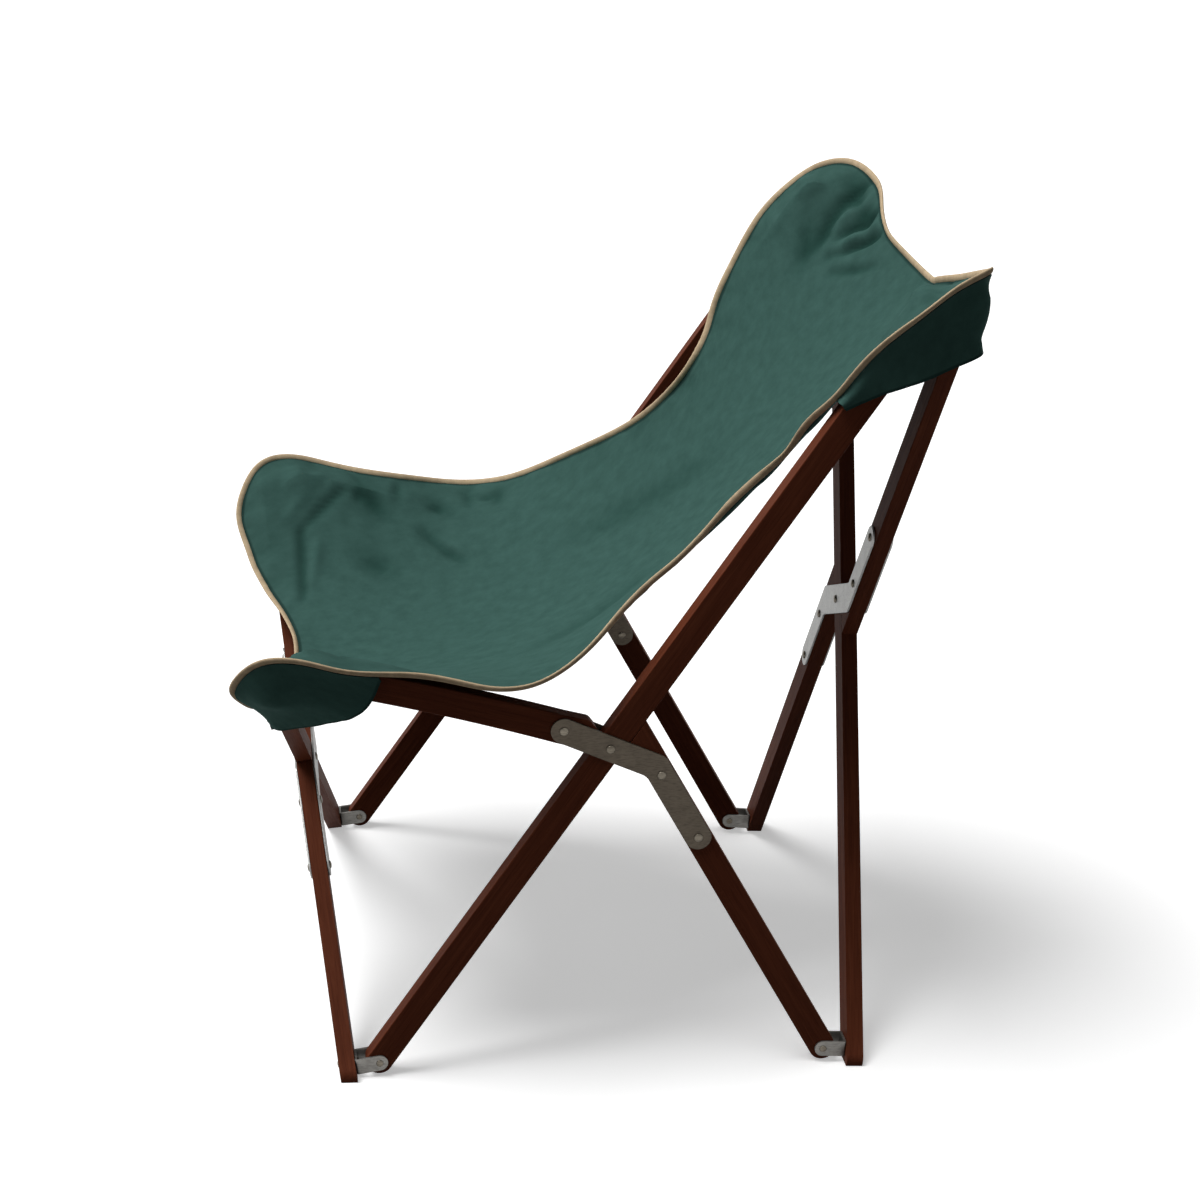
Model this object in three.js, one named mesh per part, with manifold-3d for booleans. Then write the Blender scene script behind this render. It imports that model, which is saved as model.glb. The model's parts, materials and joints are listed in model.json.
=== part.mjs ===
// Folding wooden sling chair: four stick crosses joined at their corners, and a canvas sling in four pockets.
// Millimetres, +Z up, the front faces -Y, the sitter's left is +X, the origin is on the floor.

import * as THREE from 'three';
import { mergeVertices } from 'three/addons/utils/BufferGeometryUtils.js';
import Module from 'manifold-3d';

const wasm = await Module();
wasm.setup();

// Sticks
const stickWidth = 32;
const stickThickness = 20;
const stickOffset = 35.5;          // centre line of a half stick beside the pivot of its cross
const seatStickRear = 36;          // the seat side stick is wider at its hinge
const seatStickBow = 4;

// Side crosses, measured in their own plane from the front floor pin
const frontHalfWidth = 333;        // side plane at the front floor pin
const taperAngle = THREE.MathUtils.degToRad(2.4);
const pinHeight = 19;
const frontPinY = -271;
const floorPinSpacing = 543;
const longStickAngle = THREE.MathUtils.degToRad(57.2);
const longStickLower = 486;
const longStickUpper = 617;
const hingeAlongLower = 48.5;      // hinge rivet beyond the pivot, along the lower stick
const seatStickAngle = THREE.MathUtils.degToRad(166);
const seatStickLength = 308;
const tailTop = 27.2;              // the seat stick's tail behind its hinge
const tailShoulder = 38.5;
const tailShoulderHeight = 9;
const tailMiddle = 42.6;
const tailBottom = 38.6;
const crossbarDistance = 39;       // from a corner pin to the mid plane of the front or back cross

// Metal
const plateThickness = 2.5;
const sidePlateWidth = 31;
const sidePlateCorner = 61;        // fixed rivets of the side plates, measured back from the pivot's foot
const sidePlateEnd = 156;
const crossPlateWidth = 28;
const crossPlateNear = 75;
const crossPlateFar = 164;
const crossPlateShoulder = 34;
const crossPlateInner = 59;
const rivetRadius = 3;
const rivetHeadRadius = 5.2;
const rivetHeadHeight = 2.4;
const bracketHeight = 20;
const bracketSlack = 0.5;
const pinRadius = 2.5;
const pinHeadRadius = 4.4;
const pinHeadHeight = 2;
const topFrontClearance = 9.4;     // the opened top front corners

const depthShift = 20;             // brings the middle of the whole depth to the origin

// Fits
const gap = 0.3;
const holeSlack = 0.3;
const roundSteps = 8;
const holeSteps = 10;
const footReach = 13;               // from a floor corner's rivet to the middle of the rounded foot
const rivetSteps = 10;
const domeShare = 0.7;
const headGap = 0.2;
const overrun = 60;                // how far a cut or a stick runs on past the face that trims it
const weldDistance = 0.0001;       // points closer than this are one
const rootDepth = 0.3;            // how deep a swaged rivet head starts in its plate

// Canvas
const clothThickness = 1.6;
const pipingRadius = 3.2;
const clothGap = 1.25;              // kept between the middle of the cloth and what it is stretched over
const pocketGap = 5;
const chordGap = 1.4;
const rimGap = 6;
const pocketChordGap = 2.8;
const chordSteps = 8;
const liftSteps = 20;
const cornerGap = 16;
const sagDrop = 2.8;               // weight of the cloth at each step of its relaxation
const clothSteps = 30;             // squares along and across the sling
const clothAcrossSteps = 18;
const evenShare = 0.75;            // how far the squares crowd towards the ends
const relaxSteps = 1500;

// Left half of the sling's outline: side edge from the back corner to the front corner, back edge and front
// edge. Each point is a share of the chair's half width there, and then its shares of the way from the seat
// side stick's hinge to the top rear corner and to the top front corner.
const sideEdgeShares = [[1.089, 1.086, -0.052], [1.131, 1.046, 0.029], [1.136, 0.987, 0.057],
  [1.103, 0.928, 0.076], [1.051, 0.858, 0.069], [1.006, 0.783, 0.042], [0.92, 0.713, 0.025],
  [0.829, 0.628, -0.029], [0.756, 0.551, -0.042], [0.722, 0.48, -0.038], [0.744, 0.413, -0.025],
  [0.791, 0.352, 0.006], [0.837, 0.296, 0.054], [0.908, 0.24, 0.094], [0.991, 0.184, 0.129],
  [1.06, 0.133, 0.183], [1.116, 0.094, 0.27], [1.125, 0.074, 0.388], [1.098, 0.068, 0.524],
  [1.083, 0.061, 0.659], [1.101, 0.051, 0.794], [1.122, 0.046, 0.934], [1.107, 0.047, 1.076],
  [1.074, 0.019, 1.194], [0.926, -0.089, 1.163]];
const backEdgeShares = [[0, 0.956, -0.326], [0.157, 0.965, -0.293], [0.311, 0.981, -0.239],
  [0.39, 0.989, -0.212], [0.468, 1.001, -0.199], [0.622, 1.025, -0.185], [0.781, 1.058, -0.17],
  [0.859, 1.069, -0.154], [0.934, 1.08, -0.12], [1.011, 1.085, -0.086], [1.089, 1.086, -0.052]];
const frontEdgeShares = [[0, -0.2, 0.744], [0.142, -0.199, 0.749], [0.288, -0.2, 0.768],
  [0.429, -0.196, 0.813], [0.573, -0.189, 0.883], [0.643, -0.177, 0.928], [0.713, -0.163, 0.983],
  [0.786, -0.139, 1.035], [0.856, -0.116, 1.098], [0.926, -0.089, 1.163]];

// Pockets: the outline points they span, and the hem from the side edge round to the back or front edge
const backPocketSideSteps = 5;
const backPocketEdgeSteps = 5;
const backHemShares = [[1.017, 0.769, 0.001], [1.072, 0.828, -0.08], [1.093, 0.867, -0.153],
  [1.085, 0.906, -0.21], [1.053, 0.931, -0.27], [0.95, 0.931, -0.294], [0.819, 0.957, -0.27],
  [0.721, 0.987, -0.235], [0.603, 1.007, -0.198]];
const frontPocketSideSteps = 20;
const frontPocketEdgeSteps = 5;
const frontHemShares = [[1.095, 0.041, 0.767], [1.061, -0.023, 0.721], [1.017, -0.066, 0.728],
  [0.954, -0.099, 0.758], [0.896, -0.128, 0.777], [0.834, -0.155, 0.806], [0.776, -0.181, 0.832],
  [0.716, -0.2, 0.851], [0.674, -0.197, 0.869], [0.632, -0.188, 0.88]];
const pocketDrop = 2;
const pocketRelaxSteps = 3;
const pipingGap = 1.5;
const pipingSteps = 6;
// The right front pocket hangs lower, round the tilted half bar
const rightFrontHemShares = [[1.095, 0.041, 0.767], [1.061, -0.023, 0.721], [1.017, -0.066, 0.728],
  [0.954, -0.102, 0.754], [0.896, -0.137, 0.766], [0.834, -0.168, 0.789], [0.776, -0.203, 0.807],
  [0.709, -0.226, 0.824], [0.662, -0.214, 0.853], [0.632, -0.193, 0.873]];
const pocketSteps = 7;

// Colours and finishes
const wood = () => new THREE.MeshStandardMaterial({ color: 0x4a2018, roughness: 0.45, metalness: 0 });
const steel = () => new THREE.MeshStandardMaterial({ color: 0x8a8780, roughness: 0.38, metalness: 0.9 });
const canvas = () => new THREE.MeshStandardMaterial({ color: 0x2f5f54, roughness: 0.9, metalness: 0 });
const tape = () => new THREE.MeshStandardMaterial({ color: 0xb9a181, roughness: 0.85, metalness: 0 });

// Small geometry helpers
const vec = (x, y) => new THREE.Vector2(x, y);
const direction = (angle) => vec(Math.cos(angle), Math.sin(angle));
const along = (start, dir, s, w) => vec(start.x + dir.x * s - dir.y * w, start.y + dir.y * s + dir.x * w);

function arc(centre, radius, from, to, steps) {
  const points = [];
  for (let i = 0; i <= steps; i++) {
    points.push(direction(from + (to - from) * i / steps).multiplyScalar(radius).add(centre));
  }
  return points;
}

function keepSide(points, origin, normal, distance) {
  const kept = [];
  const depth = (p) => (p.x - origin.x) * normal.x + (p.y - origin.y) * normal.y - distance;
  points.forEach((p, i) => {
    const next = points[(i + 1) % points.length];
    const a = depth(p);
    const b = depth(next);
    if (a >= 0) kept.push(p);
    if ((a >= 0) !== (b >= 0)) kept.push(p.clone().lerp(next, a / (a - b)));
  });
  return kept;
}

function flatPiece(points, holes, thickness) {
  const shape = new THREE.Shape(THREE.ShapeUtils.isClockWise(points) ? [...points].reverse() : points);
  for (const [centre, radius] of holes) {
    const hole = new THREE.Path();
    hole.setFromPoints(arc(centre, radius, 0, -2 * Math.PI, holeSteps).slice(0, -1));
    shape.holes.push(hole);
  }
  const geometry = new THREE.ExtrudeGeometry(shape, { depth: thickness, bevelEnabled: false, steps: 1 });
  return geometry.translate(0, 0, -thickness / 2);
}

function toSolid(geometry) {
  const bare = geometry.clone();
  bare.deleteAttribute('normal');
  bare.deleteAttribute('uv');
  const merged = mergeVertices(bare, weldDistance);
  const vertProperties = new Float32Array(merged.attributes.position.array);
  const triVerts = new Uint32Array(merged.index.array);
  return new wasm.Manifold(new wasm.Mesh({ numProp: 3, vertProperties, triVerts }));
}

function toGeometry(solid) {
  const mesh = solid.getMesh();
  const geometry = new THREE.BufferGeometry();
  geometry.setAttribute('position', new THREE.BufferAttribute(new Float32Array(mesh.vertProperties), 3));
  geometry.setIndex(new THREE.BufferAttribute(new Uint32Array(mesh.triVerts), 1));
  geometry.computeVertexNormals();
  return geometry;
}

// Planes of the four crosses: a local X and Y in the plane and Z across its thickness
const sinTaper = Math.sin(taperAngle);
const cosTaper = Math.cos(taperAngle);
const chair = new THREE.Group();
const root = new THREE.Group();
chair.add(root);

function planeGroup(origin, xAxis, yAxis) {
  const group = new THREE.Group();
  const zAxis = xAxis.clone().cross(yAxis);
  group.matrix.makeBasis(xAxis, yAxis, zAxis).setPosition(origin);
  group.matrix.decompose(group.position, group.quaternion, group.scale);
  root.add(group);
  return group;
}

function addMesh(group, name, geometry, material) {
  const mesh = new THREE.Mesh(geometry, material);
  mesh.name = name;
  group.add(mesh);
  return mesh;
}

const up = new THREE.Vector3(0, 0, 1);
const sideRearward = (side) => new THREE.Vector3(-side * sinTaper, cosTaper, 0);
const sideOrigin = (side) => new THREE.Vector3(side * frontHalfWidth, frontPinY, 0);

function sidePoint(side, p) {
  return sideOrigin(side).addScaledVector(sideRearward(side), p.x).addScaledVector(up, p.y);
}

// Points of a side cross
const frontPin = vec(0, pinHeight);
const rearPin = vec(floorPinSpacing, pinHeight);
const longDir = direction(longStickAngle);
const pivot = along(frontPin, longDir, longStickLower, 0);
const topRearPin = along(frontPin, longDir, longStickLower + longStickUpper, 0);
const rearReach = pivot.clone().sub(rearPin);
const lowerAngle = rearReach.angle() - Math.asin(stickOffset / rearReach.length());
const lowerDir = direction(lowerAngle);
const lowerLength = Math.sqrt(rearReach.lengthSq() - stickOffset ** 2);
const hinge = along(rearPin, lowerDir, lowerLength + hingeAlongLower, 2 * stickOffset);
const seatDir = direction(seatStickAngle);
const topFrontPin = along(hinge, seatDir, seatStickLength, 0);

// Planes of the front and back crosses, through the side pins and then out by the bracket
function crossPlane(lowPin, highPin, sign) {
  const low = sidePoint(1, lowPin);
  const high = sidePoint(1, highPin);
  const rise = new THREE.Vector3(0, high.y - low.y, high.z - low.z);
  const height = rise.length();
  rise.normalize();
  const xAxis = new THREE.Vector3(1, 0, 0);
  const forward = xAxis.clone().cross(rise);
  const origin = new THREE.Vector3(0, low.y, low.z).addScaledVector(forward, sign * crossbarDistance);
  return { low: low.x, high: high.x, height, rise, forward, origin, group: planeGroup(origin, xAxis, rise) };
}

const front = crossPlane(frontPin, topFrontPin, 1);
const back = crossPlane(rearPin, topRearPin, -1);

// Rivets turned as one piece: a shank along Z with a domed head at one or both ends
function rivet(radius, headRadius, headHeight, low, high, headLow, headHigh) {
  const crown = headHeight * domeShare;
  const dome = (z, sign) => [vec(headRadius, z), vec(headRadius * domeShare, z + sign * crown)];
  const profile = [vec(0, low - (headLow ? headHeight : 0))];
  if (headLow) profile.push(...dome(low, -1).reverse());
  profile.push(vec(radius, low), vec(radius, high));
  if (headHigh) profile.push(...dome(high, 1));
  profile.push(vec(0, high + (headHigh ? headHeight : 0)));
  return new THREE.LatheGeometry(profile, rivetSteps).rotateX(Math.PI / 2);
}

// A plate on one face of the sticks; the pair's fixed rivets are swaged into one plate of the two
const plateMiddle = stickThickness / 2 + gap + plateThickness / 2;
const stackHalf = plateMiddle + plateThickness / 2;

function plate(outline, looseHoles, fixed, side, riveted) {
  const loose = looseHoles.map((centre) => [centre, rivetRadius + holeSlack]);
  const open = riveted ? [] : fixed.map((centre) => [centre, rivetRadius + holeSlack]);
  const geometry = flatPiece(outline, [...loose, ...open], plateThickness);
  geometry.translate(0, 0, side * plateMiddle);
  if (!riveted) return geometry;
  let solid = toSolid(geometry);
  const reach = stackHalf + headGap;
  for (const centre of fixed) {
    const low = side > 0 ? -reach : -stackHalf + rootDepth;
    const high = side > 0 ? stackHalf - rootDepth : reach;
    const pin = rivet(rivetRadius, rivetHeadRadius, rivetHeadHeight, low, high, true, true);
    solid = solid.add(toSolid(pin.translate(centre.x, centre.y, 0)));
  }
  return toGeometry(solid);
}

function pivotRivet(group, name, centre) {
  const reach = stackHalf + headGap;
  const geometry = rivet(rivetRadius, rivetHeadRadius, rivetHeadHeight, -reach, reach, true, true);
  addMesh(group, name, geometry, steel()).position.set(centre.x, centre.y, 0);
}

// Folded steel bracket: two ears round a stick's end and a web that lies on the front or back bar
function bracket(skew, turn, webFace) {
  const inner = stickThickness / 2 + bracketSlack;
  const outer = inner + plateThickness;
  const half = bracketHeight / 2;
  const face = (z, back) => vec(webFace + skew * z - back, z);
  const channel = [vec(-half, -outer), face(-outer, 0), face(outer, 0), vec(-half, outer), vec(-half, inner),
    face(inner, plateThickness), face(-inner, plateThickness), vec(-half, -inner)];
  const folded = toSolid(flatPiece(channel, [], bracketHeight).rotateX(Math.PI / 2));
  const ear = [...arc(vec(0, 0), half, Math.PI / 2, 3 * Math.PI / 2, roundSteps),
    vec(webFace + half, -half), vec(webFace + half, half)];
  const trimmed = folded.intersect(toSolid(flatPiece(ear, [[vec(0, 0), pinRadius + holeSlack]], overrun)));
  const drillRadius = rivetRadius + holeSlack;
  const drill = new THREE.CylinderGeometry(drillRadius, drillRadius, overrun, holeSteps);
  drill.rotateZ(Math.PI / 2).translate(overrun / 2, 0, 0).rotateY(turn);
  return toGeometry(trimmed.subtract(toSolid(drill)));
}

// One corner of a side cross: the bracket turned towards its bar, and its cross pin
function corner(group, side, plane, name, pin, sign, clearance) {
  const across = new THREE.Vector3(cosTaper, side * sinTaper, 0);
  const out = plane.forward.clone().multiplyScalar(sign);
  const rearward = sideRearward(side);
  const rise = vec(plane.rise.dot(rearward), plane.rise.z).normalize();
  const outLocal = vec(-sign * rise.y, sign * rise.x);
  const outWorld = rearward.multiplyScalar(outLocal.x).addScaledVector(up, outLocal.y);
  const skew = -across.dot(out) / outWorld.dot(out);
  const webFace = crossbarDistance - stickThickness / 2 - gap - clearance;
  const mesh = addMesh(group, `${name}_bracket`, bracket(skew, Math.atan(skew), webFace), steel());
  mesh.position.set(pin.x, pin.y, 0);
  mesh.rotation.z = outLocal.angle();
  const reach = stickThickness / 2 + bracketSlack + plateThickness + headGap;
  const shape = rivet(pinRadius, pinHeadRadius, pinHeadHeight, -reach, reach, true, true);
  addMesh(group, `${name}_pin`, shape, steel()).position.set(pin.x, pin.y, 0);
}

// Side crosses
const halfWidth = stickWidth / 2;
const pinHole = (p) => [p, pinRadius + holeSlack];
const rivetHole = (p) => [p, rivetRadius + holeSlack];

function barEnds(start, end, dir) {
  const angle = dir.angle();
  return [...arc(start, halfWidth, angle + Math.PI / 2, angle + 3 * Math.PI / 2, roundSteps),
    ...arc(end, halfWidth, angle - Math.PI / 2, angle + Math.PI / 2, roundSteps)];
}

const lowerFoot = along(rearPin, lowerDir, lowerLength, 0);
const fixedNear = along(lowerFoot, lowerDir, -sidePlateCorner, 0);
const fixedFar = along(lowerFoot, lowerDir, -sidePlateEnd, 0);
const longRear = vec(longDir.y, -longDir.x);
const lowerOutline = keepSide(barEnds(rearPin, along(lowerFoot, lowerDir, overrun, 0), lowerDir),
  pivot, longRear, halfWidth + gap);

function seatOutline() {
  const points = [];
  const edge = (share, sign) => {
    const half = THREE.MathUtils.lerp(seatStickRear, stickWidth, share) / 2;
    const bow = -4 * seatStickBow * share * (1 - share);
    return along(hinge, seatDir, seatStickLength * share, bow + sign * half);
  };
  for (let i = 0; i <= roundSteps; i++) points.push(edge(i / roundSteps, -1));
  const angle = seatDir.angle();
  const end = arc(topFrontPin, halfWidth, angle - Math.PI / 2, angle + Math.PI / 2, roundSteps);
  points.push(...end.slice(1, -1));
  for (let i = roundSteps; i >= 0; i--) points.push(edge(i / roundSteps, 1));
  const rearHalf = seatStickRear / 2;
  points.push(along(hinge, seatDir, -tailBottom, rearHalf), along(hinge, seatDir, -tailMiddle, 0));
  points.push(along(hinge, seatDir, -tailShoulder, -tailShoulderHeight));
  points.push(along(hinge, seatDir, -tailTop, -rearHalf));
  return points;
}

// Crossing of two lines that run beside the arms of the side plate
function mitre(a, dirA, sideA, b, dirB, sideB) {
  const p = along(a, dirA, 0, sideA);
  const q = along(b, dirB, 0, sideB);
  const s = (q.clone().sub(p)).cross(dirB) / dirA.cross(dirB);
  return along(p, dirA, s, 0);
}

const armDir = pivot.clone().sub(hinge).normalize();
const downDir = lowerDir.clone().negate();
const plateHalf = sidePlateWidth / 2;
const sidePlate = [
  ...arc(hinge, plateHalf, armDir.angle() + Math.PI / 2, armDir.angle() + 3 * Math.PI / 2, roundSteps),
  mitre(hinge, armDir, -plateHalf, fixedFar, downDir, -plateHalf),
  ...arc(fixedFar, plateHalf, downDir.angle() - Math.PI / 2, downDir.angle() + Math.PI / 2, roundSteps),
  mitre(hinge, armDir, plateHalf, fixedFar, downDir, plateHalf),
];

const sideGroups = [];
for (const [word, side] of [['left', 1], ['right', -1]]) {
  const group = planeGroup(sideOrigin(side), sideRearward(side), up);
  sideGroups.push(group);
  const stick = (name, outline, holes) => {
    addMesh(group, `${word}_${name}`, flatPiece(outline, holes, stickThickness), wood());
  };
  const longHoles = [pinHole(frontPin), rivetHole(pivot), pinHole(topRearPin)];
  stick('long_stick', barEnds(frontPin, topRearPin, longDir), longHoles);
  stick('lower_stick', lowerOutline, [pinHole(rearPin), rivetHole(fixedNear), rivetHole(fixedFar)]);
  stick('seat_stick', seatOutline(), [rivetHole(hinge), pinHole(topFrontPin)]);
  const fixed = [fixedNear, fixedFar];
  addMesh(group, `${word}_outer_plate`, plate(sidePlate, [hinge, pivot], fixed, side, true), steel());
  addMesh(group, `${word}_inner_plate`, plate(sidePlate, [hinge, pivot], fixed, -side, false), steel());
  pivotRivet(group, `${word}_main_pivot`, pivot);
  pivotRivet(group, `${word}_hinge_rivet`, hinge);
  corner(group, side, front, `${word}_front_floor`, frontPin, 1, 0);
  corner(group, side, back, `${word}_back_floor`, rearPin, -1, 0);
  corner(group, side, front, `${word}_front_top`, topFrontPin, 1, topFrontClearance);
  corner(group, side, back, `${word}_back_top`, topRearPin, -1, 0);
}

// Front and back crosses: a through bar between the two offset halves of the split bar
function cross(plane, word, hand, inward, linked) {
  const centre = vec(0, plane.height * plane.low / (plane.low + plane.high));
  const splitFoot = vec(hand * plane.low, 0);
  const splitTop = vec(-hand * plane.high, plane.height);
  const throughFoot = vec(-hand * plane.low, 0);
  const throughTop = vec(hand * plane.high, plane.height);
  const throughDir = throughTop.clone().sub(throughFoot).normalize();
  const floorCut = (outline, holes) => {
    const solid = toSolid(flatPiece(outline, holes, stickThickness));
    return toGeometry(solid.trimByPlane([0, plane.rise.z, plane.forward.z], -plane.origin.z));
  };
  const throughOutline = barEnds(along(throughFoot, throughDir, -footReach, 0), throughTop, throughDir);
  addMesh(plane.group, `${word}_through_bar`,
    floorCut(throughOutline, [rivetHole(throughFoot), rivetHole(centre), rivetHole(throughTop)]), wood());

  const outline = [];
  const fixed = [];
  for (const [part, end] of [['lower', splitFoot], ['upper', splitTop]]) {
    const reach = centre.clone().sub(end);
    const dir = direction(reach.angle() - hand * Math.asin(stickOffset / reach.length()));
    const length = Math.sqrt(reach.lengthSq() - stickOffset ** 2);
    const near = along(end, dir, length - crossPlateNear, 0);
    const far = along(end, dir, length - crossPlateFar, 0);
    const start = part === 'lower' ? along(end, dir, -footReach, 0) : end;
    const butt = vec(throughDir.y, -throughDir.x);
    if (butt.dot(end.clone().sub(centre)) < 0) butt.negate();
    const rough = barEnds(start, along(end, dir, length + overrun, 0), dir);
    const shape = keepSide(rough, centre, butt, halfWidth + gap);
    const holes = [rivetHole(end), rivetHole(near), rivetHole(far)];
    const geometry = part === 'lower' ? floorCut(shape, holes) : flatPiece(shape, holes, stickThickness);
    addMesh(plane.group, `${word}_${part}_half_bar`, geometry, wood());
    const half = crossPlateWidth / 2;
    const angle = dir.angle();
    const ends = arc(far, half, angle + hand * Math.PI / 2, angle + hand * 3 * Math.PI / 2, roundSteps);
    outline.push(along(end, dir, length - crossPlateInner, hand * half), ...ends,
      along(end, dir, length - crossPlateShoulder, -hand * half));
    fixed.push(near, far);
  }
  addMesh(plane.group, `${word}_outer_plate`, plate(outline, [centre], fixed, -inward, true), steel());
  addMesh(plane.group, `${word}_inner_plate`, plate(outline, [centre], fixed, inward, false), steel());
  pivotRivet(plane.group, `${word}_centre_pivot`, centre);

  const [leftFoot, rightFoot] = hand > 0 ? [splitFoot, throughFoot] : [throughFoot, splitFoot];
  const [leftTop, rightTop] = hand > 0 ? [throughTop, splitTop] : [splitTop, throughTop];
  const corners = [['left', 'floor', leftFoot], ['right', 'floor', rightFoot],
    ['left', 'top', leftTop], ['right', 'top', rightTop]];
  for (const [side, level, point] of corners) {
    const closed = linked.includes(`${side}_${level}`);
    const face = stickThickness / 2 + headGap;
    const reach = closed ? face + gap + plateThickness : stickThickness / 2 - headGap;
    const shape = inward > 0
      ? rivet(rivetRadius, pinHeadRadius, pinHeadHeight, -face, reach, true, closed)
      : rivet(rivetRadius, pinHeadRadius, pinHeadHeight, -reach, face, closed, true);
    const name = `${side}_${word}_${level}_rivet`;
    addMesh(plane.group, name, shape, steel()).position.set(point.x, point.y, 0);
  }
}

cross(front, 'front', 1, -1, ['left_floor', 'right_floor']);
cross(back, 'back', -1, 1, ['left_floor']);

// Sticks that the cloth is stretched over, as boxes: their middle, axes and half sizes. The sling lies on the
// faces given by axis and sign, and the pockets wrap the other faces.
const blocks = [];
function block(group, start, end, halfWide, halfThick, slingFaces, pocketFaces) {
  group.updateMatrixWorld(true);
  const dir = end.clone().sub(start).normalize();
  const middle = start.clone().add(end).multiplyScalar(1 / 2);
  const turned = (x, y, z) => new THREE.Vector3(x, y, z).transformDirection(group.matrixWorld);
  blocks.push({
    middle: new THREE.Vector3(middle.x, middle.y, 0).applyMatrix4(group.matrixWorld),
    axes: [turned(dir.x, dir.y, 0), turned(-dir.y, dir.x, 0), turned(0, 0, 1)],
    half: [end.distanceTo(start) / 2, halfWide, halfThick],
    slingFaces,
    pocketFaces,
  });
}

// The round end of a stick, with the heads of its pins
const rounds = [];
function roundEnd(group, centre, halfThick, slingSides) {
  rounds.push({
    centre: new THREE.Vector3(centre.x, centre.y, 0).applyMatrix4(group.matrixWorld),
    axis: new THREE.Vector3(0, 0, 1).transformDirection(group.matrixWorld),
    halfThick,
    slingSides,
  });
}

const barReach = stickThickness / 2 + headGap + pinHeadHeight;
const headReach = barReach + bracketSlack + plateThickness;
for (const group of sideGroups) {
  block(group, hinge, topFrontPin, seatStickRear / 2 + seatStickBow, stickThickness / 2, [[1, -1]]);
  roundEnd(group, topFrontPin, headReach, []);
  block(group, pivot, topRearPin, halfWidth, stickThickness / 2, [[1, 1]]);
  roundEnd(group, topRearPin, headReach, []);
}
for (const [plane, hand] of [[front, 1], [front, -1], [back, 1], [back, -1]]) {
  const top = vec(hand * plane.high, plane.height);
  const centre = vec(0, plane.height * plane.low / (plane.low + plane.high));
  const reach = top.clone().sub(centre);
  const isSplit = (plane === front) === (hand < 0);
  const dir = direction(reach.angle() + (isSplit ? hand * Math.asin(stickOffset / reach.length()) : 0));
  const below = along(top, dir, -reach.length() / 2, 0);
  block(plane.group, below, top, halfWidth, stickThickness / 2, [[2, 1], [1, hand]],
    plane === front ? [[1, -hand]] : undefined);
  roundEnd(plane.group, top, barReach, [1]);
}

function pushOut(point, forSling, keep, beside) {
  const offset = new THREE.Vector3();
  for (const { middle, axes, half, slingFaces, pocketFaces } of blocks) {
    offset.copy(point).sub(middle);
    const reach = axes.map((axis) => offset.dot(axis));
    const isFace = (faces, k, sign) => faces.some(([axis, way]) => axis === k && way === sign);
    const isWrapped = (k, sign) => {
      return pocketFaces ? isFace(pocketFaces, k, sign) : !isFace(slingFaces, k, sign) && k > 0;
    };
    const isExit = (k, sign) => (forSling ? isFace(slingFaces, k, sign) : isWrapped(k, sign));
    const margin = (value, k) => (isExit(k, Math.sign(value)) ? keep : beside);
    if (reach.some((value, k) => Math.abs(value) >= half[k] + margin(value, k))) continue;
    let best = null;
    for (let k = 0; k < 3; k++) {
      for (const sign of [1, -1]) {
        if (!isExit(k, sign)) continue;
        const depth = half[k] + keep - sign * reach[k];
        if (!best || depth < best.depth) best = { depth, axis: axes[k], sign };
      }
    }
    point.addScaledVector(best.axis, best.sign * best.depth);
  }
  for (const { centre, axis, halfThick, slingSides } of rounds) {
    const radial = point.clone().sub(centre);
    const across = radial.dot(axis);
    radial.addScaledVector(axis, -across);
    const sideways = !forSling || slingSides.includes(Math.sign(across));
    const sideDepth = halfThick + (sideways ? keep : beside) - Math.abs(across);
    const depth = halfWidth + keep - radial.length();
    if (depth <= 0 || sideDepth <= 0) continue;
    if (sideways && sideDepth < depth) point.addScaledVector(axis, Math.sign(across) * sideDepth);
    else point.addScaledVector(radial.normalize(), depth);
  }
  return point;
}

// Points of the outline, and points spaced along one
const [seatHinge, rearCorner, frontCorner] = [hinge, topRearPin, topFrontPin].map((p) => sidePoint(1, p));
function outlinePoint([widthShare, rearShare, frontShare]) {
  const point = seatHinge.clone().multiplyScalar(1 - rearShare - frontShare);
  point.addScaledVector(rearCorner, rearShare).addScaledVector(frontCorner, frontShare);
  return point.setX(point.x * widthShare);
}
const mirrored = (points) => points.map((p) => new THREE.Vector3(-p.x, p.y, p.z));

function spaced(points, shares) {
  const curve = new THREE.CatmullRomCurve3(points, false, 'centripetal');
  curve.arcLengthDivisions = shares.length * roundSteps;
  return shares.map((share) => curve.getPointAt(share));
}

const evenShares = (steps) => Array.from({ length: steps + 1 }, (_, i) => i / steps);
const edgeShares = (steps) => evenShares(steps).map((share) => (1 - Math.cos(Math.PI * share)) / 2);
const rowShares = (steps) => {
  return edgeShares(steps).map((share, i) => THREE.MathUtils.lerp(i / steps, share, evenShare));
};

// A net of points stretched between four edges; first and second run across it, start and end along it
function net(first, second, start, end, lengthways, across) {
  const columns = first.length - 1;
  return start.map((_, i) => {
    const v = lengthways[i];
    return across.map((u, j) => {
      const point = new THREE.Vector3();
      point.addScaledVector(first[j], 1 - v).addScaledVector(second[j], v);
      point.addScaledVector(start[i], 1 - u).addScaledVector(end[i], u);
      point.addScaledVector(first[0], -(1 - u) * (1 - v)).addScaledVector(first[columns], -u * (1 - v));
      return point.addScaledVector(second[0], -(1 - u) * v).addScaledVector(second[columns], -u * v);
    });
  });
}

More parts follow.
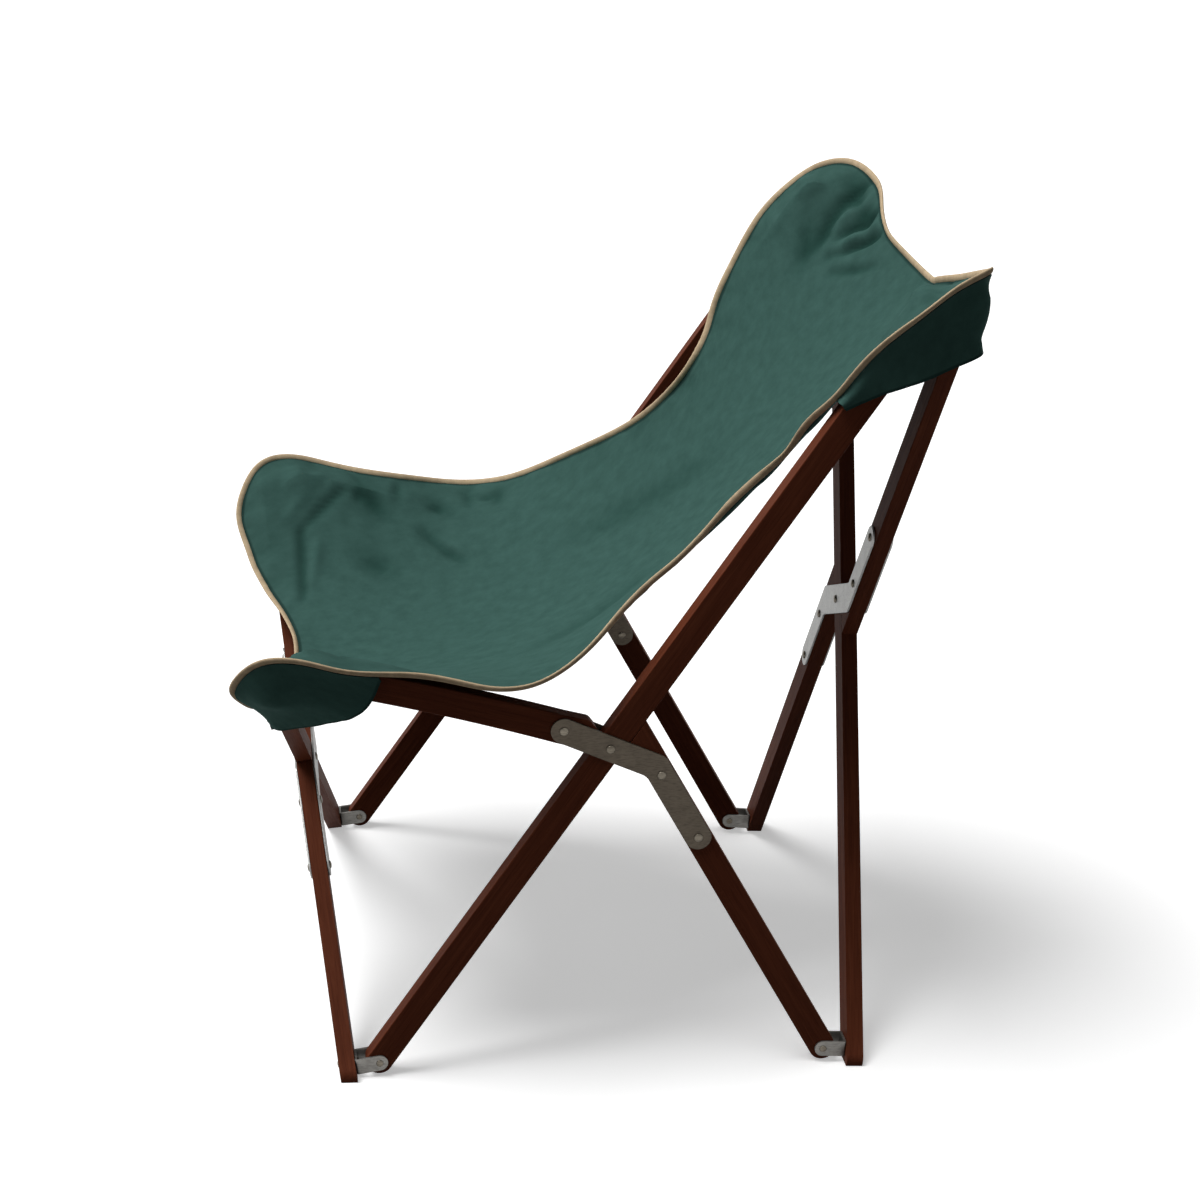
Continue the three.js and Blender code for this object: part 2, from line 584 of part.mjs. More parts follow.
function relax(grid, lengthways, across, sag, steps, forSling) {
  const pulls = (shares) => shares.slice(1).map((u, j) => 1 / ((u - shares[j]) * shares.length));
  const pull = pulls(across);
  const draw = pulls(lengthways);
  for (let step = 0; step < steps; step++) {
    for (let i = 1; i < grid.length - 1; i++) {
      for (let j = 1; j < across.length - 1; j++) {
        const wide = (across[j + 1] - across[j - 1]) * across.length;
        const long = (lengthways[i + 1] - lengthways[i - 1]) * lengthways.length;
        const near = [pull[j - 1] / wide, pull[j] / wide];
        const far = [draw[i - 1] / long, draw[i] / long];
        const sum = near[0] + near[1] + far[0] + far[1];
        const point = grid[i][j].set(0, 0, 0);
        point.addScaledVector(grid[i][j - 1], near[0]).addScaledVector(grid[i][j + 1], near[1]);
        point.addScaledVector(grid[i - 1][j], far[0]).addScaledVector(grid[i + 1][j], far[1]);
        point.multiplyScalar(1 / sum);
        point.z -= sag / sum;
        pushOut(point, forSling, forSling ? clothGap : pocketGap, cornerGap);
      }
    }
  }
  return grid;
}

// Lifts the net where a straight line between two of its points would cut a corner of what is under it
function liftChords(grid, first, forSling) {
  const sample = new THREE.Vector3();
  const lift = (a, b) => {
    for (const share of evenShares(chordSteps).slice(1, -1)) {
      sample.lerpVectors(a, b, share);
      const before = sample.clone();
      const keep = forSling ? chordGap : pocketChordGap;
      pushOut(sample, forSling, keep, keep);
      const moved = sample.sub(before);
      a.add(moved);
      b.add(moved);
    }
  };
  for (let step = 0; step < liftSteps; step++) {
    for (let i = first; i < grid.length - 1; i++) {
      for (let j = 0; j < grid[i].length - 1; j++) {
        lift(grid[i][j], grid[i][j + 1]);
        lift(grid[i][j], grid[i + 1][j]);
        lift(grid[i][j], grid[i + 1][j + 1]);
        lift(grid[i + 1][j], grid[i + 1][j + 1]);
      }
    }
  }
  return grid;
}

// A sheet of cloth: both faces of a net, joined round its rim
function sheet(grid) {
  const rows = grid.length;
  const columns = grid[0].length;
  const at = (i, j) => grid[Math.min(Math.max(i, 0), rows - 1)][Math.min(Math.max(j, 0), columns - 1)];
  const positions = [];
  for (const side of [1, -1]) {
    for (let i = 0; i < rows; i++) {
      for (let j = 0; j < columns; j++) {
        const down = at(i + 1, j).clone().sub(at(i - 1, j));
        const across = at(i, j + 1).clone().sub(at(i, j - 1));
        const normal = down.cross(across).normalize();
        const p = at(i, j).clone().addScaledVector(normal, side * clothThickness / 2);
        positions.push(p.x, p.y, p.z);
      }
    }
  }
  const faces = [];
  const quad = (a, b, c, d) => faces.push(a, b, c, a, c, d);
  const lower = rows * columns;
  const id = (i, j) => i * columns + j;
  for (let i = 0; i < rows - 1; i++) {
    for (let j = 0; j < columns - 1; j++) {
      quad(id(i, j), id(i + 1, j), id(i + 1, j + 1), id(i, j + 1));
      quad(lower + id(i, j), lower + id(i, j + 1), lower + id(i + 1, j + 1), lower + id(i + 1, j));
    }
  }
  const rim = [];
  for (let j = 0; j < columns - 1; j++) rim.push(id(0, j));
  for (let i = 0; i < rows - 1; i++) rim.push(id(i, columns - 1));
  for (let j = columns - 1; j > 0; j--) rim.push(id(rows - 1, j));
  for (let i = rows - 1; i > 0; i--) rim.push(id(i, 0));
  rim.forEach((a, k) => {
    const b = rim[(k + 1) % rim.length];
    quad(a, b, lower + b, lower + a);
  });
  const geometry = new THREE.BufferGeometry();
  geometry.setAttribute('position', new THREE.Float32BufferAttribute(positions, 3));
  geometry.setIndex(faces);
  geometry.computeVertexNormals();
  return geometry;
}

// Sling panel
const leftSide = sideEdgeShares.map(outlinePoint);
const columnShares = edgeShares(clothAcrossSteps);
function whole(halfShares) {
  const half = halfShares.map(outlinePoint);
  return [...half.slice(1).reverse(), ...mirrored(half)];
}
const lengthShares = rowShares(clothSteps);
const leftRows = spaced(leftSide, lengthShares).map((p) => pushOut(p, true, rimGap, cornerGap));
const [backRow, frontRow] = [backEdgeShares, frontEdgeShares].map((half) => spaced(whole(half), columnShares));
const panelNet = net(backRow, frontRow, leftRows, mirrored(leftRows), lengthShares, columnShares);
relax(panelNet, lengthShares, columnShares, sagDrop, relaxSteps, true);
for (const row of panelNet) {
  for (let j = 0; j < clothAcrossSteps / 2; j++) row[clothAcrossSteps - j].set(-row[j].x, row[j].y, row[j].z);
}
liftChords(panelNet, 0, true);
addMesh(root, 'sling_panel', sheet(panelNet), canvas());

// Pockets: each hangs from the outline just under the panel and wraps the ends of its sticks down to the hem
const netNormal = (grid, i, j) => {
  const limit = (k, count) => Math.min(Math.max(k, 0), count - 1);
  const at = (row, column) => grid[limit(row, grid.length)][limit(column, grid[0].length)];
  const down = at(i + 1, j).clone().sub(at(i - 1, j));
  return down.cross(at(i, j + 1).clone().sub(at(i, j - 1))).normalize();
};
const under = (i, j) => {
  const normal = netNormal(panelNet, i, j);
  return panelNet[i][j].clone().addScaledVector(normal, -Math.sign(normal.z) * pocketDrop);
};
const nearest = (points, shares) => {
  const goal = outlinePoint(shares);
  return points.reduce((best, p, k) => (p.distanceTo(goal) < points[best].distanceTo(goal) ? k : best), 0);
};

function pocket(name, corner, sideEnd, edgeEnd, leftHem, rightHem) {
  const side = panelNet.map((row) => row[0]);
  const edge = panelNet[corner];
  const sideIndex = nearest(side, sideEnd);
  const edgeIndex = nearest(edge, edgeEnd);
  const arch = [];
  const step = Math.sign(corner - sideIndex);
  for (let i = sideIndex; i !== corner; i += step) arch.push(under(i, 0));
  for (let j = 0; j <= edgeIndex; j++) arch.push(under(corner, j));
  const lengths = [0];
  arch.slice(1).forEach((p, k) => lengths.push(lengths[k] + p.distanceTo(arch[k])));
  const shares = lengths.map((length) => length / lengths[lengths.length - 1]);
  const rows = evenShares(pocketSteps);
  const hemRows = [leftHem, rightHem].map((points) => spaced(points.map(outlinePoint), shares));
  const hands = [['left', arch, hemRows[0]], ['right', mirrored(arch), mirrored(hemRows[1])]];
  for (const [word, archRow, hemRow] of hands) {
    const ends = [0, shares.length - 1].map((k) => rows.map((v) => archRow[k].clone().lerp(hemRow[k], v)));
    const cloth = net(archRow, hemRow, ends[0], ends[1], rows, shares);
    for (const row of cloth.slice(1)) for (const p of row) pushOut(p, false, pocketGap, cornerGap);
    relax(cloth, rows, shares, 0, pocketRelaxSteps, false);
    liftChords(cloth, 1, false);
    if (word === 'right') cloth.forEach((row) => row.reverse());
    addMesh(root, `${word}_${name}`, sheet(cloth), canvas());
  }
}

pocket('back_pocket', 0, sideEdgeShares[backPocketSideSteps], backEdgeShares[backPocketEdgeSteps],
  backHemShares, backHemShares);
pocket('front_pocket', clothSteps, sideEdgeShares[frontPocketSideSteps],
  frontEdgeShares[frontPocketEdgeSteps], frontHemShares, rightFrontHemShares);

// Piping round the whole outline
const outline = [];
for (let i = 0; i < clothSteps; i++) outline.push([i, 0]);
for (let j = 0; j < clothAcrossSteps; j++) outline.push([clothSteps, j]);
for (let i = clothSteps; i > 0; i--) outline.push([i, clothAcrossSteps]);
for (let j = clothAcrossSteps; j > 0; j--) outline.push([0, j]);
const rimPoint = (k) => panelNet[outline.at(k % outline.length)[0]][outline.at(k % outline.length)[1]];
const rimPoints = outline.map(([i, j], k) => {
  const row = Math.min(Math.max(i, 1), clothSteps - 1);
  const inner = panelNet[row][Math.min(Math.max(j, 1), clothAcrossSteps - 1)];
  const outward = panelNet[i][j].clone().sub(inner);
  const ahead = rimPoint(k + 1).clone().sub(rimPoint(k - 1)).normalize();
  outward.addScaledVector(ahead, -outward.dot(ahead)).normalize();
  return panelNet[i][j].clone().addScaledVector(outward, pipingRadius + pipingGap);
});
const tubePositions = [];
const tubeFaces = [];
rimPoints.forEach((centre, k) => {
  const count = rimPoints.length;
  const ahead = rimPoints[(k + 1) % count].clone().sub(rimPoints[(k + count - 1) % count]).normalize();
  const [i, j] = outline[k];
  const outward = centre.clone().sub(panelNet[i][j]);
  outward.addScaledVector(ahead, -outward.dot(ahead)).normalize();
  const other = ahead.clone().cross(outward);
  for (let m = 0; m < pipingSteps; m++) {
    const turn = 2 * Math.PI * (m + 1 / 2) / pipingSteps;
    const p = centre.clone().addScaledVector(outward, pipingRadius * Math.cos(turn));
    p.addScaledVector(other, pipingRadius * Math.sin(turn));
    tubePositions.push(p.x, p.y, p.z);
    const next = (m + 1) % pipingSteps;
    const ring = ((k + 1) % count) * pipingSteps;
    const here = k * pipingSteps;
    tubeFaces.push(here + m, here + next, ring + next, here + m, ring + next, ring + m);
  }
});
const pipingTube = new THREE.BufferGeometry();
pipingTube.setAttribute('position', new THREE.Float32BufferAttribute(tubePositions, 3));
pipingTube.setIndex(tubeFaces);
pipingTube.computeVertexNormals();
addMesh(root, 'piping', pipingTube, tape());

root.position.y = depthShift;

export default chair;
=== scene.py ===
# %% [markdown]
# # A folding wooden sling chair
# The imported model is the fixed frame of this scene: every stick, plate and rivet already has its place there.
# Each piece made below stands where its solid is and rides on the same body, so the chair can fold. Only the
# cloth of the seat hangs less deep than its solid, because the photograph shows it so.

import json
import math

import bmesh
import bpy
import numpy as np
from mathutils import Matrix, Vector
from mathutils.kdtree import KDTree


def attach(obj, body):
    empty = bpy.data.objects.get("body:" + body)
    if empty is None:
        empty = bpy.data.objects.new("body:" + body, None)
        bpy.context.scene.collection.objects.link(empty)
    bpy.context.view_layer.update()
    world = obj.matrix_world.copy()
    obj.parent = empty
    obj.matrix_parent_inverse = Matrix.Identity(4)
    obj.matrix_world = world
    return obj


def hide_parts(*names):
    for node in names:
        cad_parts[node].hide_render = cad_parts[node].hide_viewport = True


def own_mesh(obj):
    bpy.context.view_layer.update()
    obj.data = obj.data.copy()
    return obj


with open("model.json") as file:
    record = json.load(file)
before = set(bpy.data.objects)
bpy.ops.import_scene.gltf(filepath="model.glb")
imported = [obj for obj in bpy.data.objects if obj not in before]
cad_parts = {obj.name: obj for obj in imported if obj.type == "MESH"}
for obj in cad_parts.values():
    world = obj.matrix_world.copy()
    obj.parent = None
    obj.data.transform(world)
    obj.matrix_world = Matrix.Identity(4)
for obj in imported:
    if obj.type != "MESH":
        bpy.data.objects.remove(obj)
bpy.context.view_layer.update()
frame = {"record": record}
bodies = frame["record"]["behaviour"]["bodies"]
body_of_node = {node: body for body, nodes in bodies.items() for node in nodes}

# %% [markdown]
# ## Camera
# The chair is seen from the sitter's left and from a little above. The camera's place and turn were fitted to
# the rivets and the ends of the crosses in the photograph. The lens is shifted sideways, because the chair
# doesn't stand in the middle of the picture.

# %% Camera
camera = bpy.data.objects.new("camera", bpy.data.cameras.new("camera"))
bpy.context.scene.collection.objects.link(camera)
bpy.context.scene.camera = camera
right, up = Vector((0.0237475, 0.9997123, 0.0033594)), Vector((-0.3399176, 0.0049143, 0.9404424))
camera.matrix_world = Matrix((right, up, right.cross(up))).transposed().to_4x4()
camera.location = (2.82619, -0.37582, 1.57835)
camera.data.sensor_width = 36
camera.data.lens = 71.208
camera.data.shift_x, camera.data.shift_y = 0.22563, -0.04391
print("camera at", camera.location[:])

# %% [markdown]
# ## Floor and light
# A pale floor, a wide soft lamp overhead and a weaker one in front. The floor and the world look white to the
# camera and in reflections, and give little light back from below, so that the underside of the cloth stays
# dark.


# %% Helpers for materials
def new_material(name):
    material = bpy.data.materials.new(name)
    material.use_nodes = True
    return material, material.node_tree, material.node_tree.nodes["Principled BSDF"]


def add(tree, kind, inputs=(), **settings):
    """A node with its settings, and its inputs given as values or as the sockets they are linked to."""
    node = tree.nodes.new(kind)
    for key, value in settings.items():
        setattr(node, key, value)
    for socket, value in dict(inputs).items():
        if isinstance(value, bpy.types.NodeSocket):
            tree.links.new(value, node.inputs[socket])
        else:
            node.inputs[socket].default_value = value
    return node


def ramp(tree, value, stops):
    node = add(tree, "ShaderNodeValToRGB", {"Fac": value})
    for at, _ in stops[2:]:
        node.color_ramp.elements.new(at)
    for element, (at, colour) in zip(node.color_ramp.elements, sorted(stops)):
        element.position, element.color = at, (*colour, 1)
    return node.outputs["Color"]


def mixed(tree, kind, a, b, factor=1.0):
    """Two colours mixed: the factor and both colours may be values or sockets."""
    node = add(tree, "ShaderNodeMix", data_type="RGBA", blend_type=kind)
    for index, value in ((0, factor), (6, a), (7, b)):
        if isinstance(value, bpy.types.NodeSocket):
            tree.links.new(value, node.inputs[index])
        else:
            node.inputs[index].default_value = value
    return node.outputs[2]


def ranged(tree, value, low, high, start=0.0, end=1.0):
    return add(tree, "ShaderNodeMapRange", {"Value": value, "From Min": start, "From Max": end, "To Min": low,
                                            "To Max": high}).outputs["Result"]


def either(tree, a, b):
    return add(tree, "ShaderNodeMath", {0: a, 1: b}, operation="MAXIMUM").outputs[0]


# %% World, floor and lamps
floor_half, floor_drop = 40, 0.0002
world = bpy.data.worlds.new("studio")
bpy.context.scene.world = world
world.use_nodes = True
tree = world.node_tree
rays = add(tree, "ShaderNodeLightPath").outputs
seen = either(tree, either(tree, rays["Is Camera Ray"], rays["Is Glossy Ray"]), rays["Is Transmission Ray"])
tree.links.new(ranged(tree, seen, 0.07, 1.0), tree.nodes["Background"].inputs["Strength"])
tree.nodes["Background"].inputs["Color"].default_value = (1, 1, 1, 1)

bm = bmesh.new()
bmesh.ops.create_grid(bm, x_segments=1, y_segments=1, size=floor_half)
bmesh.ops.translate(bm, verts=bm.verts[:], vec=(0, 0, -floor_drop))
floor = bpy.data.objects.new("floor", bpy.data.meshes.new("floor"))
bm.to_mesh(floor.data)
bm.free()
bpy.context.scene.collection.objects.link(floor)
floor_white, tree, shader = new_material("pale_floor")
rays = add(tree, "ShaderNodeLightPath").outputs
seen = either(tree, rays["Is Camera Ray"], rays["Is Glossy Ray"])
tree.links.new(ranged(tree, seen, 0.15, 0.9), shader.inputs["Base Color"])
shader.inputs["Roughness"].default_value = 1
shader.inputs["Specular IOR Level"].default_value = 0
glow = add(tree, "ShaderNodeEmission", {"Color": (1, 1, 1, 1), "Strength": ranged(tree, seen, 0.0, 0.42)})
both = add(tree, "ShaderNodeAddShader", {0: shader.outputs[0], 1: glow.outputs[0]})
tree.links.new(both.outputs[0], tree.nodes["Material Output"].inputs["Surface"])
floor.data.materials.append(floor_white)

for name, energy, width, way in (("overhead_lamp", 2.9, 34, (0.02, -0.42, 1.0)),
                                 ("front_lamp", 1.0, 60, (-0.30, -1.0, 0.25))):
    lamp = bpy.data.objects.new(name, bpy.data.lights.new(name, "SUN"))
    bpy.context.scene.collection.objects.link(lamp)
    lamp.data.energy, lamp.data.angle = energy, math.radians(width)
    lamp.rotation_euler = Vector(way).to_track_quat("Z", "Y").to_euler()
bpy.context.scene.view_settings.view_transform = "Standard"
print("floor and lamps in place")

# %% [markdown]
# ## Sizes of the frame
# The sticks are flat bars 32 by 20 mm. Each side is a cross of a long stick and a lower stick, and its plane
# leans inwards to the back. The front and the back are crosses too, outside the side crosses' corners.

# %% Sizes
MM = 0.001
stick_width, stick_thickness = 32 * MM, 20 * MM
stick_offset = 35.5 * MM
front_half_width, taper = 333 * MM, math.radians(2.4)
pin_height, floor_pin_spacing = 19 * MM, 543 * MM
front_pin_y = -251 * MM
long_lower, long_upper, long_angle = 486 * MM, 617 * MM, math.radians(57.2)
hinge_ahead = 48.5 * MM
seat_length, seat_angle, seat_rear, seat_bow = 308 * MM, math.radians(166), 36 * MM, 4 * MM
bar_distance = 39 * MM
plate_thickness = 2.5 * MM
gap = 0.3 * MM
half = stick_width / 2
almost = 0.998


def heading(angle):
    return Vector((math.cos(angle), math.sin(angle)))


def beside(start, way, ahead, left=0.0):
    return Vector((start.x + way.x * ahead - way.y * left, start.y + way.y * ahead + way.x * left))


def turn_of(way):
    return math.atan2(way.y, way.x)


def plane_at(origin, x_axis, y_axis):
    axes = Matrix((x_axis, y_axis, x_axis.cross(y_axis))).transposed().to_4x4()
    return Matrix.Translation(origin) @ axes


def side_plane(hand):
    rearward = Vector((-hand * math.sin(taper), math.cos(taper), 0))
    return plane_at(Vector((hand * front_half_width, front_pin_y, 0)), rearward, Vector((0, 0, 1)))


def side_point(hand, p):
    return side_plane(hand) @ Vector((p.x, p.y, 0))


# %% Points of a side cross
front_pin, rear_pin = Vector((0, pin_height)), Vector((floor_pin_spacing, pin_height))
long_way = heading(long_angle)
pivot = beside(front_pin, long_way, long_lower)
top_rear = beside(front_pin, long_way, long_lower + long_upper)
lower_reach = pivot - rear_pin
lower_way = heading(turn_of(lower_reach) - math.asin(stick_offset / lower_reach.length))
lower_length = math.sqrt(lower_reach.length_squared - stick_offset ** 2)
lower_foot = beside(rear_pin, lower_way, lower_length)
hinge = beside(rear_pin, lower_way, lower_length + hinge_ahead, 2 * stick_offset)
seat_way = heading(seat_angle)
top_front = beside(hinge, seat_way, seat_length)
for name, point in (("pivot", pivot), ("top rear pin", top_rear), ("hinge", hinge),
                    ("top front pin", top_front)):
    print(name, [round(c, 4) for c in side_point(1, point)])


# %% Planes of the front and back crosses
def cross_plane(low_pin, high_pin, sign):
    low, high = side_point(1, low_pin), side_point(1, high_pin)
    rise = Vector((0, high.y - low.y, high.z - low.z))
    height = rise.length
    rise.normalize()
    ahead = Vector((1, 0, 0)).cross(rise)
    origin = Vector((0, low.y, low.z)) + ahead * sign * bar_distance
    return {"place": plane_at(origin, Vector((1, 0, 0)), rise), "low": low.x, "high": high.x,
            "height": height, "rise": rise, "ahead": ahead, "sign": sign}


front = cross_plane(front_pin, top_front, 1)
back = cross_plane(rear_pin, top_rear, -1)
print("front cross", round(front["height"], 4), "m high, back cross", round(back["height"], 4), "m high")

# %% [markdown]
# ## Helpers for pieces
# A flat piece is cut from a face: its corners are rounded with a vertex bevel, it is extruded to its
# thickness, sawn where another stick is in the way, and its arrises are eased with an edge bevel. A small
# inset keeps the wide faces flat in smooth shading.


# %% Flat and turned pieces
stick_ease, plate_ease, foot_ease = 1.6 * MM, 0.5 * MM, 4 * MM
small_corner, wide_side, flat_inset = 3 * MM, 5 * MM, 0.3 * MM


def flat_piece(corners, radii, thickness, place, saws=(), ease=stick_ease, cuts=0, shape=None):
    """A closed flat piece. radii round the corners of its outline, and saws are planes to keep above."""
    bm = bmesh.new()
    ring = [bm.verts.new((x, y, -thickness / 2)) for x, y in corners]
    bm.faces.new(ring)
    for radius in sorted(set(radii) - {0}):
        chosen = [v for v, r in zip(ring, radii) if r == radius]
        bmesh.ops.bevel(bm, geom=chosen, offset=radius, offset_type="OFFSET", profile=0.5, affect="VERTICES",
                        segments=12 if radius > 2 * small_corner else 4, material=-1, clamp_overlap=True)
    if cuts:
        longest = sorted(bm.edges, key=lambda e: -e.calc_length())[:2]
        bmesh.ops.subdivide_edges(bm, edges=longest, cuts=cuts)
    made = bmesh.ops.extrude_face_region(bm, geom=bm.faces[:])
    raised = [v for v in made["geom"] if isinstance(v, bmesh.types.BMVert)]
    bmesh.ops.translate(bm, verts=raised, vec=(0, 0, thickness))
    if shape:
        for v in bm.verts:
            v.co = shape(v.co)
    bmesh.ops.transform(bm, matrix=place, verts=bm.verts[:])
    for point, normal in saws:
        bmesh.ops.bisect_plane(bm, geom=bm.verts[:] + bm.edges[:] + bm.faces[:], dist=1e-6, plane_co=point,
                               plane_no=normal, clear_inner=True)
        bmesh.ops.holes_fill(bm, edges=[e for e in bm.edges if e.is_boundary])
    bmesh.ops.recalc_face_normals(bm, faces=bm.faces[:])
    feet = [e for e in bm.edges if max(v.co.z for v in e.verts) < MM]
    bmesh.ops.bevel(bm, geom=feet, offset=foot_ease, segments=4, profile=0.5, affect="EDGES", material=-1,
                    clamp_overlap=True)
    sharp = [e for e in bm.edges if e.calc_face_angle(0) > math.radians(40)]
    bmesh.ops.bevel(bm, geom=sharp, offset=ease, segments=3, profile=0.5, affect="EDGES", material=-1,
                    clamp_overlap=True)
    wide = [f for f in bm.faces if f.calc_area() > wide_side ** 2]
    bmesh.ops.inset_individual(bm, faces=wide, thickness=flat_inset)
    return bm


def turned(profile, place, steps=28):
    """A turned piece: a profile of (radius, height) pairs that starts and ends on the axis."""
    bm = bmesh.new()
    ring = [bm.verts.new((r, 0, z)) for r, z in profile]
    edges = [bm.edges.new(pair) for pair in zip(ring, ring[1:])]
    bmesh.ops.spin(bm, geom=ring + edges, cent=(0, 0, 0), axis=(0, 0, 1), angle=2 * math.pi, steps=steps,
                   use_merge=True)
    bmesh.ops.remove_doubles(bm, verts=bm.verts[:], dist=1e-6)
    bmesh.ops.recalc_face_normals(bm, faces=bm.faces[:])
    bmesh.ops.transform(bm, matrix=place, verts=bm.verts[:])
    return bm


# %% Finished pieces
shelf = {}
grain_shift = Vector((0.37, 0.11, 0.05))


def to_object(name, bm, material, smooth=35):
    """One object at the origin from a bmesh in its final place."""
    mesh = bpy.data.meshes.new(name)
    bm.to_mesh(mesh)
    bm.free()
    mesh.shade_smooth()
    mesh.set_sharp_from_angle(angle=math.radians(smooth))
    mesh.materials.append(material)
    piece = bpy.data.objects.new(name, mesh)
    bpy.context.scene.collection.objects.link(piece)
    shelf[name] = piece
    return piece


def joined(parts):
    whole = bmesh.new()
    for part in parts:
        step = bpy.data.meshes.new("step")
        part.to_mesh(step)
        whole.from_mesh(step)
        bpy.data.meshes.remove(step)
        part.free()
    return whole


def hard_piece(node, word, parts, material, grain=None):
    """The parts joined into one object, which replaces its CAD node and rides on that node's body."""
    piece = to_object(f"{node}_{word}", joined(parts), material)
    if grain is not None:
        own = grain.inverted()
        shift = grain_shift * len(shelf)
        attribute = piece.data.attributes.new("grain", "FLOAT_VECTOR", "POINT")
        attribute.data.foreach_set("vector", [c for v in piece.data.vertices for c in own @ v.co + shift])
    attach(piece, body_of_node[node])
    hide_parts(node)
    return piece


# %% [markdown]
# ## Wood
# Dark reddish brown hardwood under a thin varnish. The figure is long streaks along each stick, so the
# material reads the stick's own coordinates, which every stick keeps in an attribute named grain.

# %% Wood
wood, tree, shader = new_material("stained_wood")
along = add(tree, "ShaderNodeAttribute", attribute_name="grain").outputs["Vector"]
long_grain = add(tree, "ShaderNodeMapping", {"Vector": along, "Scale": (3.0, 60, 60)}).outputs["Vector"]
streaks = add(tree, "ShaderNodeTexNoise", {"Vector": long_grain, "Scale": 2.2, "Detail": 6.0,
                                           "Roughness": 0.6, "Distortion": 0.6}).outputs["Fac"]
fine_grain = add(tree, "ShaderNodeMapping", {"Vector": along, "Scale": (14, 420, 420)}).outputs["Vector"]
pores = add(tree, "ShaderNodeTexNoise", {"Vector": fine_grain, "Scale": 2.0, "Detail": 3.0}).outputs["Fac"]
patches = add(tree, "ShaderNodeTexNoise", {"Vector": along, "Scale": 9.0, "Detail": 2.0}).outputs["Fac"]
base = ramp(tree, streaks, [(0.22, (0.092, 0.0235, 0.0115)), (0.80, (0.178, 0.052, 0.024)),
                            (0.52, (0.128, 0.035, 0.0165))])
tone = ramp(tree, patches, [(0.3, (0.82, 0.80, 0.79)), (0.7, (1.0, 1.0, 1.0))])
dark = ramp(tree, pores, [(0.34, (0.80, 0.77, 0.75)), (0.5, (1, 1, 1))])
colour = mixed(tree, "MULTIPLY", mixed(tree, "MULTIPLY", base, tone), dark)
tree.links.new(colour, shader.inputs["Base Color"])
tree.links.new(ranged(tree, pores, 0.65, 0.48), shader.inputs["Roughness"])
shader.inputs["Specular IOR Level"].default_value = 0.03
relief = add(tree, "ShaderNodeBump", {"Height": pores, "Strength": 0.12, "Distance": 0.0004})
tree.links.new(relief.outputs["Normal"], shader.inputs["Normal"])
print("wood ready")

# %% [markdown]
# ## Steel
# All the plates are one steel, with fine scratches and a few stains, painted lighter or darker for the light on
# them. The angled side plates are dull brownish steel, painted dark for the shade on their faces towards the
# camera. The plates of the front and back crosses are painted pale for the front light and its white
# reflection, the folded brackets are painted between the two for the shade they lie in, and the rivet heads are
# smoother.


# %% Steel
def steel_finish(name, pale, dull, rough_low, rough_high, metallic=0.85):
    """Worn steel: clouds of tone, fine scratches along the piece and a little relief."""
    material, tree, shader = new_material(name)
    place = add(tree, "ShaderNodeTexCoord").outputs["Object"]
    clouds = add(tree, "ShaderNodeTexNoise", {"Vector": place, "Scale": 55.0, "Detail": 5.0,
                                              "Roughness": 0.62}).outputs["Fac"]
    stretched = add(tree, "ShaderNodeMapping", {"Vector": place, "Scale": (900, 120, 900)}).outputs["Vector"]
    scratch = add(tree, "ShaderNodeTexNoise", {"Vector": stretched, "Scale": 1.0,
                                               "Detail": 4.0}).outputs["Fac"]
    colour = ramp(tree, clouds, [(0.32, dull), (0.66, pale)])
    worn = ramp(tree, scratch, [(0.36, (0.72, 0.72, 0.72)), (0.52, (1, 1, 1))])
    tree.links.new(mixed(tree, "MULTIPLY", colour, worn), shader.inputs["Base Color"])
    tree.links.new(ranged(tree, clouds, rough_low, rough_high), shader.inputs["Roughness"])
    shader.inputs["Metallic"].default_value = metallic
    relief = add(tree, "ShaderNodeBump", {"Height": scratch, "Strength": 0.15, "Distance": 0.0002})
    tree.links.new(relief.outputs["Normal"], shader.inputs["Normal"])
    return material


# Lit and shaded copies of one steel: painted shade on the side plates and the brackets, painted light and
# reflection on the cross plates.
shaded_plate_steel = steel_finish("shaded_plate_steel", (0.083, 0.068, 0.051), (0.062, 0.050, 0.037), 0.45, 0.62)
shaded_bracket_steel = steel_finish("shaded_bracket_steel", (0.24, 0.232, 0.215), (0.165, 0.158, 0.145), 0.38, 0.55)
lit_cross_steel = steel_finish("lit_cross_steel", (0.40, 0.40, 0.39), (0.30, 0.30, 0.29), 0.38, 0.55)
rivet_steel = steel_finish("rivet_steel", (0.17, 0.15, 0.12), (0.095, 0.082, 0.064), 0.28, 0.42, 1.0)
print("steel ready")

# %% [markdown]
# ## Sticks
# Each stick starts as a rectangle in its own frame, with X along the stick from one pin to the other. The
# half bars and the lower sticks are sawn off along the stick that they meet, and the floor bars are sawn
# level with the floor.


# %% Side sticks
def in_plane(place, start, way):
    """A stick's own frame: X along it from start, Y across it in the plane, Z through its thickness."""
    return place @ Matrix.Translation((start.x, start.y, 0)) @ Matrix.Rotation(turn_of(way), 4, "Z")


def plain_stick(node, place, start, way, low, high, saws=()):
    """A stick of even width from low to high along its own X, round at both ends."""
    own = in_plane(place, start, way)
    corners = [(low - half, -half), (high + half, -half), (high + half, half), (low - half, half)]
    bm = flat_piece(corners, [half * almost] * 4, stick_thickness, own, saws)
    return hard_piece(node, "wood", [bm], wood, own)


def seat_stick_shape(co):
    """Tapers the seat side stick from its hinge to its front end and bows it upwards."""
    share = min(max(co.x / seat_length, 0), 1)
    narrower = (seat_rear + (stick_width - seat_rear) * share) / seat_rear
    return Vector((co.x, co.y * narrower - 4 * seat_bow * share * (1 - share), co.z))


